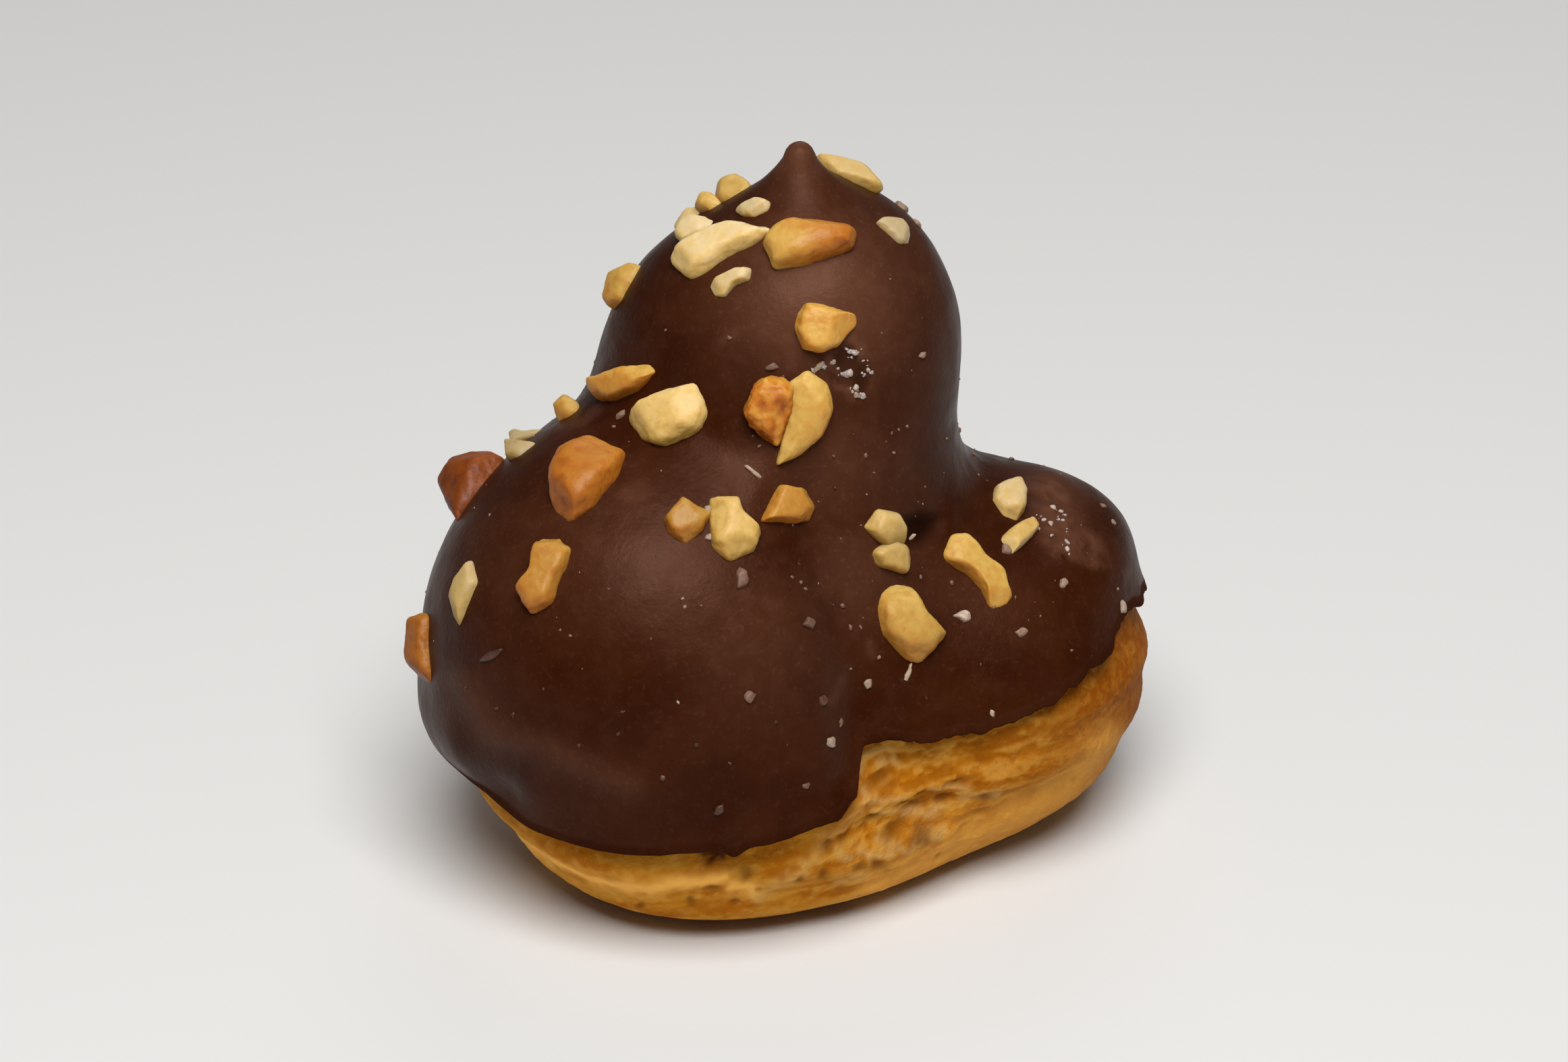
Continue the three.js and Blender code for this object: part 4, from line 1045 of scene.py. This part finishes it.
def nutMaterial(name, colours):
    material, tree, shader = newMaterial(name)
    ramp = put(tree, "ShaderNodeValToRGB")
    stops = ramp.color_ramp.elements
    while len(stops) < len(colours):
        stops.new(0.5)
    for stop, (toast, colour) in zip(stops, colours):
        stop.position = toast
        stop.color = (*colour, 1.0)
    speckle = nuts["speckle"]
    speckle = calc(tree, "MULTIPLY", patches(tree, *speckle["patches"]), speckle["share"])
    tree.links.new(calc(tree, "ADD", attributeOf(tree, "toast"), speckle), ramp.inputs["Fac"])
    share = {0: ramp.outputs["Color"], "Scale": attributeOf(tree, "bright")}
    colour = put(tree, "ShaderNodeVectorMath", share, operation="SCALE").outputs["Vector"]
    tree.links.new(colour, shader.inputs["Base Color"])
    shader.inputs["Roughness"].default_value = nuts["roughness"]
    shader.inputs["Specular IOR Level"].default_value = nuts["specular"]
    for key, value in nuts["glow"].items():
        shader.inputs["Subsurface " + key.title()].default_value = value
    roughen(tree, shader, nuts["grain"])
    return material


def chipMesh(chips):
    bm = bmesh.new()
    for chip in chips:
        addChip(bm, chip)
    return bm


frontNuts = nutsInFront()
nutBody = chipMesh(frontNuts + nutsBehind(frontNuts))
choppedNuts = makePiece("choppedNuts", nutBody, nutMaterial("choppedNut", nuts["colours"]))

# Nut crumbs and dust: some read from the photo, more by seeded draws over the crown
crumbs = {
    "seen": [  # pixel across and down, length, width, turn, toast
        (1172, 1076, 1.0, 0.8, 20, 0.05), (1093, 1152, 0.9, 0.7, 70, 0.02), (1116, 1117, 0.6, 0.5, 0, 0.05),
        (1140, 1111, 1.1, 0.4, 60, 0.1), (1232, 1057, 0.7, 0.6, 40, 0.3), (1208, 1086, 0.7, 0.6, 0, 0.5),
        (1269, 1070, 1.0, 0.6, 80, 0.1), (1190, 1135, 0.5, 0.35, 110, 0.1),
        (1044, 1125, 0.8, 0.65, 10, 0.45), (1026, 1193, 0.8, 0.6, 60, 0.8),
        (1039, 1053, 1.3, 1.0, 100, 0.6), (1047, 990, 1.6, 0.4, -35, 0.1), (889, 1100, 2.0, 0.5, 15, 0.85),
        (1148, 919, 0.6, 0.5, 0, 0.3), (1145, 1029, 0.6, 0.35, 20, 0.1), (1199, 1036, 0.9, 0.6, 30, 0.35),
        (1256, 1010, 0.45, 0.4, 0, 0.5), (1262, 1020, 0.4, 0.35, 0, 0.4), (1099, 1140, 0.5, 0.4, 60, 0.3),
        (1089, 1127, 0.8, 0.6, 0, 0.75), (1078, 1178, 0.45, 0.4, 0, 0.45), (1080, 1081, 0.9, 0.6, 0, 0.65),
        (1086, 926, 0.9, 0.35, 45, 0.1), (1109, 942, 0.5, 0.35, 50, 0.2), (1136, 829, 1.0, 0.7, -30, 0.3),
        (1145, 839, 0.8, 0.5, -40, 0.3), (1057, 927, 0.9, 0.5, 0, 0.5), (1019, 1013, 0.7, 0.5, 60, 0.15),
        (1020, 1029, 0.6, 0.5, 0, 0.2), (966, 955, 0.7, 0.5, 30, 0.4),
    ],
    "specks": [  # pixel across and down, size
        (1100, 1070, 0.42), (1105, 1083, 0.45), (1111, 1083, 0.5), (1147, 1053, 0.45), (1166, 1056, 0.5),
        (1122, 1101, 0.4), (1219, 1076, 0.25), (1105, 1108, 0.35), (1191, 1071, 0.35), (1204, 1065, 0.35),
        (1159, 1088, 0.3), (1266, 1060, 0.3), (1095, 980, 0.4), (1114, 980, 0.4), (1134, 964, 0.4),
        (1130, 966, 0.3), (1139, 962, 0.3), (1151, 1126, 0.25), (1184, 1106, 0.2), (1238, 1097, 0.25),
        (1250, 1100, 0.2), (961, 896, 0.4), (1032, 909, 0.4), (1129, 873, 0.2), (994, 904, 0.25),
        (874, 1119, 0.35), (892, 1132, 0.45), (902, 1135, 0.4), (968, 1134, 0.4), (965, 1147, 0.35),
        (942, 1154, 0.35), (1012, 1154, 0.35), (1032, 1165, 0.35), (992, 1174, 0.5), (1067, 1154, 0.2),
        (948, 1202, 0.2), (1075, 1056, 0.4), (1070, 1053, 0.35), (1078, 1060, 0.4), (1074, 1045, 0.35),
        (1131, 978, 0.3), (1119, 990, 0.25), (985, 1090, 0.25), (930, 1085, 0.25), (1015, 1070, 0.2),
        (1060, 1140, 0.25), (920, 1120, 0.3), (962, 962, 0.4), (1050, 974, 0.4), (1046, 968, 0.3),
    ],
    "sugary": [  # lines in pixels
        (1084, 928, 1096, 920), (1104, 914, 1111, 917), (1113, 921, 1117, 930), (1106, 938, 1112, 944),
        (1098, 932, 1105, 927), (1218, 1004, 1222, 1024, 1238, 1041), (1224, 1010, 1236, 1030),
    ],
    "sugarDraws": 80,
    "sugarSpread": 5.0,  # pixels to either side
    "sugarSize": (0.16, 0.5),  # at least, and up to this much more
    "sugarToast": (-0.12, 0.1),  # from, and the spread
    "speckToast": {"upper": (0.35, 0.4), "lower": (0.7, 0.4), "lowerFrom": 1110},
    "scatter": 170,
    "scatterHeight": (0.93, 1.0),  # cosine at the top, and how far down
    "sizeFrom": 0.12,
    "sizeTo": 0.36,
    "coarser": {"front": (0.8, 1.0), "behind": (1.8, 0.7)},  # times the size, times the toast
    "size": 1.2,  # of what was read, as part of each is sunk
    "flatness": 0.6,  # thickness by width
    "ragged": 0.7,
    "detail": {"crumbs": 3, "dust": 2},
    "colours": [
        (0.0, (0.50, 0.38, 0.33)), (0.03, (0.40, 0.29, 0.21)), (0.4, (0.25, 0.15, 0.10)),
        (0.7, (0.14, 0.065, 0.042)), (1.0, (0.07, 0.026, 0.014)),
    ],
}


def sugarRows():  # fine white grains along the broken places
    rows = []
    least, more = crumbs["sugarSize"]
    for index in range(crumbs["sugarDraws"]):
        line = asPairs(crumbs["sugary"][index % len(crumbs["sugary"])])
        across, down = outlinePoints(line, np.array([0.5 * draw(index + 5100)]))[0]  # on the way out
        aside = (draw(index + 5200) + draw(index + 5300) - 1) * crumbs["sugarSpread"]
        down = down + 1.6 * aside * (draw(index + 5400) - 0.5)
        rows.append((across + aside, down, least + more * draw(index + 5500) ** 2))
    return rows


def onCoat(points):  # the same places, moved in or out with the coat's relief
    relief, _ = coatRelief(points)
    return surfacePoints((points - heart) / gapTo(points, heart)[:, None], -relief)


def crumbChip(point, along, length, width, toast, seed, kind):
    thick, ragged, detail = crumbs["flatness"] * width, crumbs["ragged"], crumbs["detail"][kind]
    return seededChip(point, along, length, width, thick, toast, seed, ragged, detail)


def crumbChips():
    specks = crumbs["specks"] + sugarRows()
    pixels = np.array([row[:2] for row in crumbs["seen"] + specks], dtype=float)
    points = onCoat(seenPoints(pixels))
    made = []
    for index, (_, _, length, width, turn, toast) in enumerate(crumbs["seen"]):
        lean = math.radians(turn)
        along = viewRight * math.cos(lean) + viewUp * math.sin(lean)
        length, width = length * crumbs["size"], width * crumbs["size"]
        made.append(crumbChip(points[index], along, length, width, toast, index + 3000, "crumbs"))
    rows = []
    shades = crumbs["speckToast"]
    for index, (point, (_, down, size)) in enumerate(zip(points[len(crumbs["seen"]):], specks)):
        duller, spread = shades["upper" if down < shades["lowerFrom"] else "lower"]
        if index >= len(crumbs["specks"]):
            duller, spread = crumbs["sugarToast"]
        rows.append((point, size, duller + spread * draw(index + 2600)))
    top, down = crumbs["scatterHeight"]
    polar = np.array([math.acos(top - down * draw(index + 1500)) for index in range(crumbs["scatter"])])
    bearing = np.array([2 * math.pi * draw(index + 1700) for index in range(crumbs["scatter"])])
    scattered = onCoat(surfacePoints(raysFromHeart(polar, bearing)))
    for index, facing in enumerate(formNormal(scattered) @ towardsViewer):
        size = crumbs["sizeFrom"] + (crumbs["sizeTo"] - crumbs["sizeFrom"]) * draw(index + 1900) ** 2
        larger, toasted = crumbs["coarser"]["behind" if facing < 0.1 else "front"]
        rows.append((scattered[index], size * larger, draw(index + 2400) * toasted))
    for index, (point, size, toast) in enumerate(rows):
        turn = 2 * math.pi * draw(index + 2100)
        along = np.array([math.cos(turn), math.sin(turn), draw(index + 2200)])
        width = size * (0.5 + 0.5 * draw(index + 2300))
        made.append(crumbChip(point, along, size, width, toast, index + 4000, "dust"))
    return made


crumbBody = chipMesh(crumbChips())
nutCrumbs = makePiece("nutCrumbs", crumbBody, nutMaterial("nutDust", crumbs["colours"]))

# Studio: pale floor, a broad soft light above in front, a weak light behind, camera at the photo's viewpoint
studio = {
    "floorHalf": 1.5,
    "floor": (0.64, 0.635, 0.62),
    "floorRoughness": 0.7,
    "frameWidth": 945,  # pixels across the picture
    "sensor": 36.0,
    "clipStart": 0.01,
    "lights": [  # name, place, aim, size, watts
        ("keyLight", (0.02, -0.26, 0.54), (0, 0, 0.02), 0.42, 4.9),
        ("backLight", (0.05, 0.45, 0.40), (0, 0, 0.03), 0.35, 0.35),
    ],
    "sky": 0.09,
    "skyColour": (1.0, 0.99, 0.97),
}


def makeStudio():
    scene = bpy.context.scene
    bm = bmesh.new()
    bmesh.ops.create_grid(bm, x_segments=1, y_segments=1, size=studio["floorHalf"])
    mesh = bpy.data.meshes.new("paleFloor")
    bm.to_mesh(mesh)
    bm.free()
    floor = bpy.data.objects.new("paleFloor", mesh)
    scene.collection.objects.link(floor)
    material, tree, shader = newMaterial("paleTable")
    shader.inputs["Base Color"].default_value = (*studio["floor"], 1.0)
    shader.inputs["Roughness"].default_value = studio["floorRoughness"]
    mesh.materials.append(material)
    for name, place, aim, size, watts in studio["lights"]:
        data = bpy.data.lights.new(name, "AREA")
        data.shape = "DISK"
        data.size = size
        data.energy = watts
        lamp = bpy.data.objects.new(name, data)
        lamp.location = place
        lamp.rotation_euler = (Vector(aim) - Vector(place)).to_track_quat("-Z", "Y").to_euler()
        scene.collection.objects.link(lamp)
    world = bpy.data.worlds.new("paleSky")
    world.use_nodes = True
    backdrop = world.node_tree.nodes["Background"]
    backdrop.inputs["Color"].default_value = (*studio["skyColour"], 1.0)
    backdrop.inputs["Strength"].default_value = studio["sky"]
    scene.world = world
    scene.view_settings.view_transform = "Standard"


def makeCamera():
    data = bpy.data.cameras.new("photoView")
    data.sensor_width = studio["sensor"]
    data.lens = data.sensor_width * viewpoint["distance"] / (studio["frameWidth"] * viewpoint["pixel"])
    data.clip_start = studio["clipStart"]
    camera = bpy.data.objects.new("photoView", data)
    camera.location = toMetres(eye)
    aim = Vector(toMetres(np.array(viewpoint["target"]))) - camera.location
    camera.rotation_euler = aim.to_track_quat("-Z", "Y").to_euler()
    bpy.context.scene.collection.objects.link(camera)
    bpy.context.scene.camera = camera


makeStudio()
makeCamera()
print("studio and camera set")
